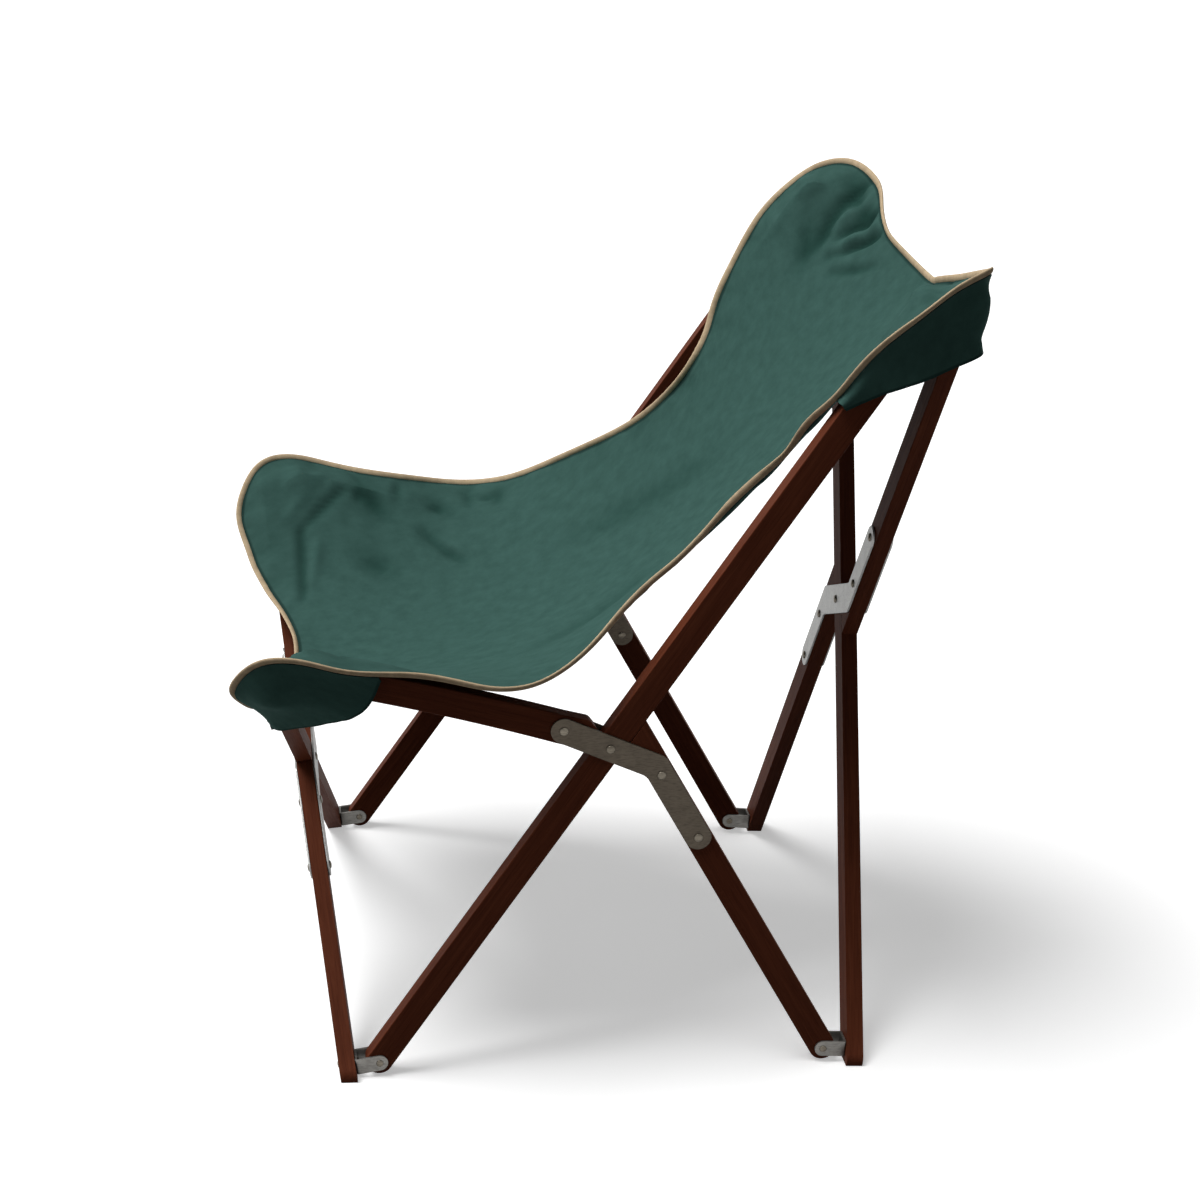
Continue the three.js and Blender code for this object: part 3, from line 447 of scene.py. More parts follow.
tail_reaches, tail_drop = (38.6 * MM, 42.6 * MM, 38.5 * MM, 27.2 * MM), 9 * MM
for word, hand in (("left", 1), ("right", -1)):
    place = side_plane(hand)
    plain_stick(f"{word}_long_stick", place, front_pin, long_way, 0, long_lower + long_upper)
    below = place.to_3x3() @ Vector((long_way.y, -long_way.x, 0))
    butt = place @ Vector((pivot.x, pivot.y, 0)) + below * (half + gap)
    plain_stick(f"{word}_lower_stick", place, rear_pin, lower_way, 0, lower_length + 2 * stick_width,
                [(butt, below)])
    rear, own = seat_rear / 2, in_plane(place, hinge, seat_way)
    tip = seat_length + half
    tail = [(-reach, y) for reach, y in zip(tail_reaches, (rear, 0, -tail_drop, -rear))]
    corners = tail + [(tip, -rear), (tip, rear)]
    radii = [small_corner] * len(tail) + [half * almost] * 2
    bm = flat_piece(corners, radii, stick_thickness, own, cuts=24, shape=seat_stick_shape)
    hard_piece(f"{word}_seat_stick", "wood", [bm], wood, own)
print("side sticks:", ", ".join(sorted(shelf)))

# %% Bars of the front and back crosses
foot_reach = 13 * MM
floor_saw = (Vector((0, 0, 0)), Vector((0, 0, 1)))
crosses = {"front": (front, 1, -1), "back": (back, -1, 1)}


def cross_points(plane, hand):
    """The centre of a cross and its four corners, and the way of its through bar."""
    low, high, height = plane["low"], plane["high"], plane["height"]
    points = {"centre": Vector((0, height * low / (low + high))), "split_foot": Vector((hand * low, 0)),
              "split_top": Vector((-hand * high, height)), "foot": Vector((-hand * low, 0)),
              "top": Vector((hand * high, height))}
    return points, (points["top"] - points["foot"]).normalized()


def half_bar(points, end, hand):
    """The way and the length of a half bar, which passes beside the centre of its cross."""
    reach = points["centre"] - points[end]
    way = heading(turn_of(reach) - hand * math.asin(stick_offset / reach.length))
    return way, math.sqrt(reach.length_squared - stick_offset ** 2)


for word, (plane, hand, _) in crosses.items():
    place = plane["place"]
    points, way = cross_points(plane, hand)
    span = (points["top"] - points["foot"]).length
    plain_stick(f"{word}_through_bar", place, points["foot"], way, -foot_reach, span, [floor_saw])
    across = Vector((way.y, -way.x))
    for part, end in (("lower", "split_foot"), ("upper", "split_top")):
        half_way, length = half_bar(points, end, hand)
        facing = across * (1 if across.dot(points[end] - points["centre"]) > 0 else -1)
        normal = place.to_3x3() @ Vector((*facing, 0))
        saws = [(place @ Vector((*points["centre"], 0)) + normal * (half + gap), normal)]
        if part == "lower":
            saws.append(floor_saw)
        plain_stick(f"{word}_{part}_half_bar", place, points[end], half_way,
                    -foot_reach if part == "lower" else 0, length + 2 * stick_width, saws)
print("bars:", sum("bar" in name for name in shelf))

# %% [markdown]
# ## Plates, rivets and brackets
# A pair of plates holds each joint between its jaws. The rivets have low domed heads. The brackets are folded
# from a strip: two round ears on the side stick's end, and a web riveted to the front or back bar.

# %% Rivets
plate_middle = stick_thickness / 2 + gap + plate_thickness / 2
stack_half = plate_middle + plate_thickness / 2
head_gap = 0.2 * MM
rivet_sizes = {"radius": 3 * MM, "head": 5.2 * MM, "tall": 2.4 * MM}
pin_sizes = {"radius": 2.5 * MM, "head": 4.4 * MM, "tall": 2 * MM}
corner_sizes = {"radius": 3 * MM, "head": 4.4 * MM, "tall": 2 * MM}
bracket_slack, bracket_half = 0.5 * MM, 10 * MM


def dome(head, tall, foot, sign):
    """A rivet head's profile from its rim to its crown: a short upright edge and then a low dome."""
    edge = 0.18 * tall
    turns = [math.radians(a) for a in (12, 30, 48, 64, 78)]
    curve = [(head * math.cos(a), foot + sign * (edge + (tall - edge) * math.sin(a))) for a in turns]
    return [(head, foot), (head, foot + sign * edge)] + curve + [(0, foot + sign * tall)]


def rivet(place, low, high, radius, head, tall, head_low=True, head_high=True):
    profile = dome(head, tall, low, -1)[::-1] if head_low else [(0, low)]
    profile += [(radius, low), (radius, high)]
    profile += dome(head, tall, high, 1) if head_high else [(0, high)]
    return turned(profile, place)


def at_point(place, p):
    return place @ Matrix.Translation((p.x, p.y, 0))


# %% Plates of the side crosses
def crossing(a, way_a, side_a, b, way_b, side_b):
    """Where two lines beside the arms of the angled plate cross."""
    p, q = beside(a, way_a, 0, side_a), beside(b, way_b, 0, side_b)
    between = q - p
    ahead = (between.x * way_b.y - between.y * way_b.x) / (way_a.x * way_b.y - way_a.y * way_b.x)
    return beside(p, way_a, ahead)


def plate_pair(word, place, corners, radii, fixed, riveted_side, finish):
    """An outer and an inner plate. The fixed rivets are set into the outer one."""
    reach = stack_half + head_gap
    for part, side in (("outer", riveted_side), ("inner", -riveted_side)):
        raised = place @ Matrix.Translation((0, 0, side * plate_middle))
        plate = flat_piece(corners, radii, plate_thickness, raised, ease=plate_ease)
        hard_piece(f"{word}_{part}_plate", "steel", [plate], finish)
    rivets = [rivet(at_point(place, p), -reach, reach, **rivet_sizes) for p in fixed]
    hard_piece(f"{word}_outer_plate", "rivets", rivets, rivet_steel)


h, elbow = 15.5 * MM, 6 * MM
far_rivet_place, near_rivet_place = 156 * MM, 61 * MM
arm_way, down_way = (pivot - hinge).normalized(), -lower_way
far_rivet = beside(lower_foot, lower_way, -far_rivet_place)
near_rivet = beside(lower_foot, lower_way, -near_rivet_place)
side_corners = [beside(hinge, arm_way, -h, h), beside(hinge, arm_way, -h, -h),
                crossing(hinge, arm_way, -h, far_rivet, down_way, -h), beside(far_rivet, down_way, h, -h),
                beside(far_rivet, down_way, h, h), crossing(hinge, arm_way, h, far_rivet, down_way, h)]
round_end = h * almost
side_radii = [round_end, round_end, elbow, round_end, round_end, elbow]
for word, hand in (("left", 1), ("right", -1)):
    place = side_plane(hand)
    plate_pair(word, place, side_corners, side_radii, [near_rivet, far_rivet], hand, shaded_plate_steel)
    reach = stack_half + head_gap
    for name, point in (("main_pivot", pivot), ("hinge_rivet", hinge)):
        hard_piece(f"{word}_{name}", "steel", [rivet(at_point(place, point), -reach, reach, **rivet_sizes)],
                   rivet_steel)
print("angled plate corners:", [tuple(round(c, 3) for c in p) for p in side_corners])

# %% Plates and corner rivets of the front and back crosses
linked = {"front": ("left_floor", "right_floor"), "back": ("left_floor",)}
g = 14 * MM
rivets_back, inner_back, outer_back = (75 * MM, 164 * MM), 59 * MM, 34 * MM
for word, (plane, hand, inward) in crosses.items():
    place = plane["place"]
    points, _ = cross_points(plane, hand)
    corners, fixed = [], []
    for end in ("split_foot", "split_top"):
        half_way, length = half_bar(points, end, hand)
        near, far = (beside(points[end], half_way, length - back_from) for back_from in rivets_back)
        corners += [beside(points[end], half_way, length - inner_back, hand * g),
                    beside(far, half_way, -g, hand * g), beside(far, half_way, -g, -hand * g),
                    beside(points[end], half_way, length - outer_back, -hand * g)]
        fixed += [near, far]
    radii = [small_corner, g * almost, g * almost, small_corner] * 2
    plate_pair(word, place, corners, radii, fixed, -inward, lit_cross_steel)
    reach = stack_half + head_gap
    hard_piece(f"{word}_centre_pivot", "steel", [rivet(at_point(place, points["centre"]), -reach, reach,
                                                       **rivet_sizes)], rivet_steel)
    ends = ("split_foot", "foot", "top", "split_top")
    if hand < 0:
        ends = ("foot", "split_foot", "split_top", "top")
    for corner, end in zip(("left_floor", "right_floor", "left_top", "right_top"), ends):
        closed = corner in linked[word]
        face = stick_thickness / 2 + head_gap
        far_end = face + gap + plate_thickness if closed else stick_thickness / 2 - head_gap
        side, level = corner.split("_")
        spot = at_point(place, points[end])
        if inward > 0:
            shank = rivet(spot, -face, far_end, **corner_sizes, head_high=closed)
        else:
            shank = rivet(spot, -far_end, face, **corner_sizes, head_low=closed)
        hard_piece(f"{side}_{word}_{level}_rivet", "steel", [shank], rivet_steel)
print("plates and rivets:", sum("steel" in name for name in shelf))


# %% Folded brackets
fold_radius, rim_ease, top_clearance, tiny = 2.2 * MM, 0.35 * MM, 9.4 * MM, 1e-6


def folded_bracket(place, web_face, skew):
    """A strip with two round ears, folded round a stick's end. X points at the bar and Z across the stick."""
    outer = stick_thickness / 2 + bracket_slack + plate_thickness
    bm = bmesh.new()
    b = bracket_half
    ring = [bm.verts.new((x, y, -outer)) for x, y in ((-b, -b), (web_face, -b), (web_face, b), (-b, b))]
    bm.faces.new(ring)
    bmesh.ops.bevel(bm, geom=[ring[0], ring[3]], offset=b * almost, offset_type="OFFSET", segments=12,
                    profile=0.5, affect="VERTICES", material=-1, clamp_overlap=True)
    other = bmesh.ops.duplicate(bm, geom=bm.verts[:] + bm.edges[:] + bm.faces[:])
    bmesh.ops.translate(bm, verts=[v for v in other["geom"] if isinstance(v, bmesh.types.BMVert)],
                        vec=(0, 0, 2 * outer))
    folds = [e for e in bm.edges if all(v.co.x > web_face - tiny for v in e.verts)]
    bmesh.ops.bridge_loops(bm, edges=folds)
    bmesh.ops.recalc_face_normals(bm, faces=bm.faces[:])
    folds = [e for e in bm.edges if not e.is_boundary and all(v.co.x > web_face - tiny for v in e.verts)]
    bmesh.ops.bevel(bm, geom=folds, offset=fold_radius, segments=4, profile=0.5, affect="EDGES", material=-1,
                    clamp_overlap=True)
    bmesh.ops.recalc_face_normals(bm, faces=bm.faces[:])
    web = max(bm.faces, key=lambda f: f.calc_center_median().x)
    if web.normal.x < 0:
        bmesh.ops.reverse_faces(bm, faces=bm.faces[:])
    bmesh.ops.solidify(bm, geom=bm.faces[:], thickness=plate_thickness)
    for v in bm.verts:
        share = min(max((v.co.x - web_face / 2) / (web_face / 2), 0), 1)
        v.co.x += skew * v.co.z * share
    bmesh.ops.recalc_face_normals(bm, faces=bm.faces[:])
    rims = [e for e in bm.edges if e.calc_face_angle(0) > math.radians(60)]
    bmesh.ops.bevel(bm, geom=rims, offset=rim_ease, segments=2, profile=0.5, affect="EDGES", material=-1,
                    clamp_overlap=True)
    bmesh.ops.transform(bm, matrix=place, verts=bm.verts[:])
    return bm


corner_pins = {"front_floor": (front_pin, front, 0), "back_floor": (rear_pin, back, 0),
               "front_top": (top_front, front, top_clearance), "back_top": (top_rear, back, 0)}
for word, hand in (("left", 1), ("right", -1)):
    place = side_plane(hand)
    across, rearward = place.to_3x3().col[2], place.to_3x3().col[0]
    for corner, (pin, plane, clearance) in corner_pins.items():
        rise = Vector((plane["rise"].dot(rearward), plane["rise"].z)).normalized()
        out = Vector((-plane["sign"] * rise.y, plane["sign"] * rise.x))
        out_world = rearward * out.x + Vector((0, 0, out.y))
        facing = plane["ahead"] * plane["sign"]
        skew = -across.dot(facing) / out_world.dot(facing)
        spot = at_point(place, pin) @ Matrix.Rotation(turn_of(out), 4, "Z")
        web_face = bar_distance - stick_thickness / 2 - gap - clearance
        hard_piece(f"{word}_{corner}_bracket", "steel", [folded_bracket(spot, web_face, skew)], shaded_bracket_steel)
        reach = stick_thickness / 2 + bracket_slack + plate_thickness + head_gap
        hard_piece(f"{word}_{corner}_pin", "steel", [rivet(at_point(place, pin), -reach, reach, **pin_sizes)],
                   rivet_steel)
for name in ("left_front_floor_bracket", "right_back_top_bracket", "left_outer_plate", "front_inner_plate",
             "left_seat_stick", "back_upper_half_bar", "front_through_bar"):
    piece = next(made for key, made in shelf.items() if key.startswith(name + "_"))

# %% [markdown]
# ## Outline of the sling
# The canvas is one panel with a curved outline, held at its four corners by pockets. Each point of the
# outline is a share of the chair's half width there, and then its shares of the way from the seat stick's
# hinge to the top rear corner and to the top front corner, so the cloth follows the frame.

# %% Outline
side_edge = [(1.089, 1.086, -0.052), (1.131, 1.046, 0.029), (1.136, 0.987, 0.057), (1.103, 0.928, 0.076),
             (1.051, 0.858, 0.069), (1.006, 0.783, 0.042), (0.92, 0.713, 0.025), (0.829, 0.628, -0.029),
             (0.756, 0.551, -0.042), (0.722, 0.48, -0.038), (0.744, 0.413, -0.025), (0.791, 0.352, 0.006),
             (0.837, 0.296, 0.054), (0.908, 0.24, 0.094), (0.991, 0.184, 0.129), (1.06, 0.133, 0.183),
             (1.116, 0.094, 0.27), (1.125, 0.074, 0.388), (1.098, 0.068, 0.524), (1.083, 0.061, 0.659),
             (1.101, 0.051, 0.794), (1.122, 0.046, 0.934), (1.107, 0.047, 1.076), (1.074, 0.019, 1.194),
             (0.926, -0.089, 1.163)]
back_edge = [(0, 0.956, -0.326), (0.157, 0.965, -0.293), (0.311, 0.981, -0.239), (0.39, 0.989, -0.212),
             (0.468, 1.001, -0.199), (0.622, 1.025, -0.185), (0.781, 1.058, -0.17), (0.859, 1.069, -0.154),
             (0.934, 1.08, -0.12), (1.011, 1.085, -0.086), (1.089, 1.086, -0.052)]
front_edge = [(0, -0.2, 0.744), (0.142, -0.199, 0.749), (0.288, -0.2, 0.768), (0.429, -0.196, 0.813),
              (0.573, -0.189, 0.883), (0.643, -0.177, 0.928), (0.713, -0.163, 0.983), (0.786, -0.139, 1.035),
              (0.856, -0.116, 1.098), (0.926, -0.089, 1.163)]
back_hem = [(1.017, 0.769, 0.001), (1.072, 0.828, -0.08), (1.093, 0.867, -0.153), (1.085, 0.906, -0.21),
            (1.053, 0.931, -0.27), (0.95, 0.931, -0.294), (0.819, 0.957, -0.27), (0.721, 0.987, -0.235),
            (0.603, 1.007, -0.198)]
left_front_hem = [(1.095, 0.041, 0.767), (1.061, -0.023, 0.721), (1.017, -0.066, 0.728),
                  (0.954, -0.099, 0.758), (0.896, -0.128, 0.777), (0.834, -0.155, 0.806),
                  (0.776, -0.181, 0.832), (0.716, -0.2, 0.851), (0.674, -0.197, 0.869), (0.632, -0.188, 0.88)]
right_front_hem = [(1.095, 0.041, 0.767), (1.061, -0.023, 0.721), (1.017, -0.066, 0.728),
                   (0.954, -0.102, 0.754), (0.896, -0.137, 0.766), (0.834, -0.168, 0.789),
                   (0.776, -0.203, 0.807), (0.709, -0.226, 0.824), (0.662, -0.214, 0.853),
                   (0.632, -0.193, 0.873)]
corners_3d = [np.array(side_point(1, p)) for p in (hinge, top_rear, top_front)]
mirror = np.array((-1, 1, 1))


def outline_points(shares):
    """The left half of an outline in metres, from its table of shares."""
    wide, rear, fore = np.array(shares, float).T
    points = np.outer(1 - rear - fore, corners_3d[0]) + np.outer(rear, corners_3d[1])
    points += np.outer(fore, corners_3d[2])
    points[:, 0] *= wide
    return points


def spaced(points, shares):
    """Points at shares of the length of a smooth curve through the given points."""
    padded = np.vstack((2 * points[0] - points[1], points, 2 * points[-1] - points[-2]))
    steps = np.linspace(0, 1, 24, endpoint=False)[:, None]
    curve = []
    for a, b, c, d in zip(padded, padded[1:], padded[2:], padded[3:]):
        da, db, dc = (np.linalg.norm(q - p) ** 0.5 for p, q in ((a, b), (b, c), (c, d)))
        t1 = ((b - a) / da - (c - a) / (da + db) + (c - b) / db) * db
        t2 = ((c - b) / db - (d - b) / (db + dc) + (d - c) / dc) * db
        curve.append(b + t1 * steps + (3 * (c - b) - 2 * t1 - t2) * steps ** 2
                     + (2 * (b - c) + t1 + t2) * steps ** 3)
    curve = np.vstack(curve + [points[-1:]])
    run = np.r_[0, np.cumsum(np.linalg.norm(np.diff(curve, axis=0), axis=1))]
    return np.column_stack([np.interp(np.asarray(shares) * run[-1], run, axis) for axis in curve.T])


edge_line = spaced(outline_points(side_edge), np.linspace(0, 1, 400))
edge_run = np.linalg.norm(np.diff(edge_line, axis=0), axis=1).sum()
print("a side edge of the sling is", round(edge_run, 3), "m long")

# %% [markdown]
# ## What the cloth lies on
# The cloth has to pass over the sticks, not through them. Each stick end under it is a box with a round end,
# and a point of the cloth that gets inside is pushed out through the face that the cloth lies on.

# %% Sticks under the cloth
blocks, rounds = [], []


def add_block(place, start, end, half_wide, half_thick, over, wrapped=None):
    """A box round a stick. The panel lies on the (axis, sign) faces in over, a pocket on those in wrapped."""
    way = (end - start).normalized()
    middle = place @ Vector((*((start + end) / 2), 0))
    axes = place.to_3x3() @ Matrix(((way.x, -way.y, 0), (way.y, way.x, 0), (0, 0, 1)))
    blocks.append((np.array(middle), np.array(axes.transposed()),
                   np.array(((end - start).length / 2, half_wide, half_thick)), over, wrapped))


def add_round(place, centre, half_thick, over):
    rounds.append((np.array(place @ Vector((*centre, 0))), np.array(place.to_3x3().col[2]), half_thick, over))


bar_reach = stick_thickness / 2 + head_gap + pin_sizes["tall"]
head_reach = bar_reach + bracket_slack + plate_thickness
for hand in (1, -1):
    place = side_plane(hand)
    add_block(place, hinge, top_front, seat_rear / 2 + seat_bow, stick_thickness / 2, [(1, -1)])
    add_round(place, top_front, head_reach, [])
    add_block(place, pivot, top_rear, half, stick_thickness / 2, [(1, 1)])
    add_round(place, top_rear, head_reach, [])
for plane, hand, split in ((front, 1, False), (front, -1, True), (back, 1, True), (back, -1, False)):
    top = Vector((hand * plane["high"], plane["height"]))
    reach = top - Vector((0, plane["height"] * plane["low"] / (plane["low"] + plane["high"])))
    lean = hand * math.asin(stick_offset / reach.length) if split else 0
    way = heading(turn_of(reach) + lean)
    add_block(plane["place"], beside(top, way, -reach.length / 2), top, half, stick_thickness / 2,
              [(2, 1), (1, hand)], [(1, -hand)] if plane is front else None)
    add_round(plane["place"], top, bar_reach, [1])


def push_out(points, panel, keep, near):
    """Moves points out of the sticks, with keep as room over the faces they lie on and near beside others."""
    points = points.copy()
    for middle, axes, size, over, wrapped in blocks:
        reach = (points - middle) @ axes.T
        if wrapped is None:
            wrapped = [(k, s) for k in (1, 2) for s in (1, -1) if (k, s) not in over]
        ways = over if panel else wrapped
        room = np.full(reach.shape, near)
        for k, s in ways:
            room[np.sign(reach[:, k]) == s, k] = keep
        inside = (np.abs(reach) < size + room).all(axis=1)
        if not inside.any():
            continue
        depths = np.column_stack([size[k] + keep - s * reach[inside, k] for k, s in ways])
        best = depths.argmin(axis=1)
        moves = np.array([s * axes[k] for k, s in ways])
        points[inside] += moves[best] * depths[np.arange(len(best)), best][:, None]
    for centre, axis, half_thick, over in rounds:
        radial = points - centre
        across = radial @ axis
        radial -= np.outer(across, axis)
        far = np.linalg.norm(radial, axis=1)
        sideways = np.isin(np.sign(across), over) if panel else np.ones(len(points), bool)
        side_depth = half_thick + np.where(sideways, keep, near) - np.abs(across)
        depth = half + keep - far
        inside = (depth > 0) & (side_depth > 0)
        by_side = inside & sideways & (side_depth < depth)
        points[by_side] += np.outer(np.sign(across[by_side]) * side_depth[by_side], axis)
        by_round = inside & ~by_side
        points[by_round] += radial[by_round] * (depth / np.maximum(far, 1e-9))[by_round][:, None]
    return points


print("the cloth passes over", len(blocks), "sticks and", len(rounds), "round ends")

# %% [markdown]
# ## The sling's shape
# A net of points is stretched between the four edges and then relaxed: each point moves to the weighted mean
# of its neighbours, a little lower for the cloth's weight, and out of the sticks. A coarse net finds the
# shape quickly, and a fine one follows it. A cloth simulation could do the same and wasn't tried.


# %% Net
def net(first, second, start, end, lengthways, across):
    """A net between four edges: first and second run across it, start and end along it."""
    v, u = np.asarray(lengthways)[:, None, None], np.asarray(across)[None, :, None]
    surface = first[None] * (1 - v) + second[None] * v + start[:, None] * (1 - u) + end[:, None] * u
    return surface - ((1 - u) * (1 - v) * first[0] + u * (1 - v) * first[-1] + (1 - u) * v * second[0]
                      + u * v * second[-1])


def relax(grid, lengthways, across, sag, steps, panel, keep=None, near=None):
    """Relaxes the inner points of a net, half of them at a time, as on a chessboard, outside the sticks."""
    rows, columns = grid.shape[:2]
    pull = 1 / (np.diff(across) * columns)
    draw = 1 / (np.diff(lengthways) * rows)
    wide = (across[2:] - across[:-2]) * columns
    long = (lengthways[2:] - lengthways[:-2]) * rows
    weights = [(pull[:-1] / wide)[None, :, None], (pull[1:] / wide)[None, :, None],
               (draw[:-1] / long)[:, None, None], (draw[1:] / long)[:, None, None]]
    total = sum(np.broadcast_to(w, (rows - 2, columns - 2, 1)) for w in weights)
    i, j = np.indices((rows - 2, columns - 2))
    for step in range(2 * steps):
        turn = (i + j) % 2 == step % 2
        mean = (weights[0] * grid[1:-1, :-2] + weights[1] * grid[1:-1, 2:] + weights[2] * grid[:-2, 1:-1]
                + weights[3] * grid[2:, 1:-1]) / total
        mean[..., 2] -= sag / total[..., 0]
        grid[1:-1, 1:-1][turn] = mean[turn] if keep is None else push_out(mean[turn], panel, keep, near)
    return grid


def edge_shares(steps):
    return (1 - np.cos(np.pi * np.arange(steps + 1) / steps)) / 2


def whole_edge(shares_table, shares):
    left = outline_points(shares_table)
    return spaced(np.vstack((left[:0:-1], left * mirror)), shares)


def upsampled(grid, old_rows, old_columns, new_rows, new_columns):
    """The points of a net read off at more rows and columns."""
    axes = range(3)
    wider = np.stack([[np.interp(new_columns, old_columns, row) for row in grid[..., k]] for k in axes], -1)
    taller = np.stack([[np.interp(new_rows, old_rows, line) for line in wider[..., k].T] for k in axes], -1)
    return taller.transpose(1, 0, 2)


def soften(grid, passes):
    """Rounds off the corners of a net's outline, where two edges meet in a point."""
    rows, columns = grid.shape[0] - 1, grid.shape[1] - 1
    loop, places = rim_of(grid)
    corners = np.array([grid[i, j] for i in (0, rows) for j in (0, columns)])
    near = 0.6 + 0.4 * np.exp(-(np.linalg.norm(loop[:, None] - corners, axis=2).min(axis=1) / (60 * MM)) ** 2)
    for _ in range(passes):
        loop += near[:, None] * ((np.roll(loop, 1, axis=0) + np.roll(loop, -1, axis=0)) / 2 - loop) / 2
    for place, point in zip(places, loop):
        grid[place] = point


def rim_of(grid):
    """The outline of a net as one closed loop of points, with the row and column of each."""
    rows, columns = grid.shape[0] - 1, grid.shape[1] - 1
    places = [(0, j) for j in range(columns)] + [(i, columns) for i in range(rows)]
    places += [(rows, j) for j in range(columns, 0, -1)] + [(i, 0) for i in range(rows, 0, -1)]
    return np.array([grid[p] for p in places]), places


def panel_net(lengthways, across):
    side = push_out(spaced(outline_points(side_edge), lengthways), True, fine_room, corner_room)
    return net(whole_edge(back_edge, across), whole_edge(front_edge, across), side, side * mirror, lengthways,
               across)


# %% Panel shape
cloth_room, corner_room, fine_room, sag = 2.5 * MM, 16 * MM, 6 * MM, 1.7 * MM
long_squares, wide_squares, crowding = 30, 18, 0.75
coarse_rows = crowding * edge_shares(long_squares)
coarse_rows = coarse_rows + (1 - crowding) * np.arange(long_squares + 1) / long_squares
coarse_columns = edge_shares(wide_squares)
coarse = relax(panel_net(coarse_rows, coarse_columns), coarse_rows, coarse_columns, sag, 1500, True,
               cloth_room, corner_room)
panel, old_rows, old_columns = coarse, coarse_rows, coarse_columns
for finer, steps in ((4, 60), (8, 16)):
    new_rows, new_columns = (np.linspace(0, 1, count * finer + 1) for count in (long_squares, wide_squares))
    refined = panel_net(new_rows, new_columns)
    soften(refined, 10 * (finer // 4) ** 2)
    refined[1:-1, 1:-1] = upsampled(panel, old_rows, old_columns, new_rows, new_columns)[1:-1, 1:-1]
    panel = relax(refined, new_rows, new_columns, sag / finer ** 2, steps, True, cloth_room, fine_room)
    old_rows, old_columns = new_rows, new_columns
middle = panel[:, panel.shape[1] // 2]
print("panel:", panel.shape[0], "by", panel.shape[1], "points, lowest", round(panel[..., 2].min(), 4),
      "m, middle line", round(np.linalg.norm(np.diff(middle, axis=0), axis=1).sum(), 3), "m long")

# %% [markdown]
# ## Puckers and folds
# Canvas sewn to a binding draws up in small puckers along its edge, and pulls into longer folds that start at
# the corner pockets. A cloth simulation could make such folds too, and wasn't tried. Here both are moves along
# the cloth's normals, so that each fold can be placed where the photograph shows it.


# %% Moves along the normals
def normals_of(grid):
    """Unit normals of a net, pointing to the side that a sitter touches."""
    across, along = np.gradient(grid, axis=1), np.gradient(grid, axis=0)
    normal = np.cross(across, along)
    return normal / np.linalg.norm(normal, axis=2, keepdims=True)


def run_along(points):
    return np.r_[0, np.cumsum(np.linalg.norm(np.diff(points, axis=0), axis=1))]


def waves(run, length, phase):
    """Uneven waves of about the given length along an edge."""
    turns = 2 * np.pi * run / length
    return (np.sin(turns + phase) + 0.6 * np.sin(0.73 * turns + 2.3 * phase)
            + 0.4 * np.sin(1.61 * turns + phase)) / 2


def rim_distance(grid, rim):
    """For each point of a net, its distance to the rim, and how far along the rim the nearest point is."""
    tree, run = KDTree(len(rim)), run_along(rim)
    for index, point in enumerate(rim):
        tree.insert(point, index)
    tree.balance()
    found = [tree.find(point)[1:] for point in grid.reshape(-1, 3)]
    shape = grid.shape[:2]
    return np.array([f[1] for f in found]).reshape(shape), run[[f[0] for f in found]].reshape(shape)


def crease(grid, start, end, width, depth):
    """A soft fold along a line between two places, given as shares of the rows and columns."""
    rows, columns = grid.shape[0] - 1, grid.shape[1] - 1
    ends = [grid[round(p[0] * rows), round(p[1] * columns)] for p in (start, end)]
    line = ends[1] - ends[0]
    share = np.clip(((grid - ends[0]) @ line) / (line @ line), 0, 1)
    away = np.linalg.norm(grid - ends[0] - share[..., None] * line, axis=2)
    return depth * np.exp(-(away / width) ** 2) * np.sin(np.pi * (0.08 + 0.84 * share)) ** 0.5


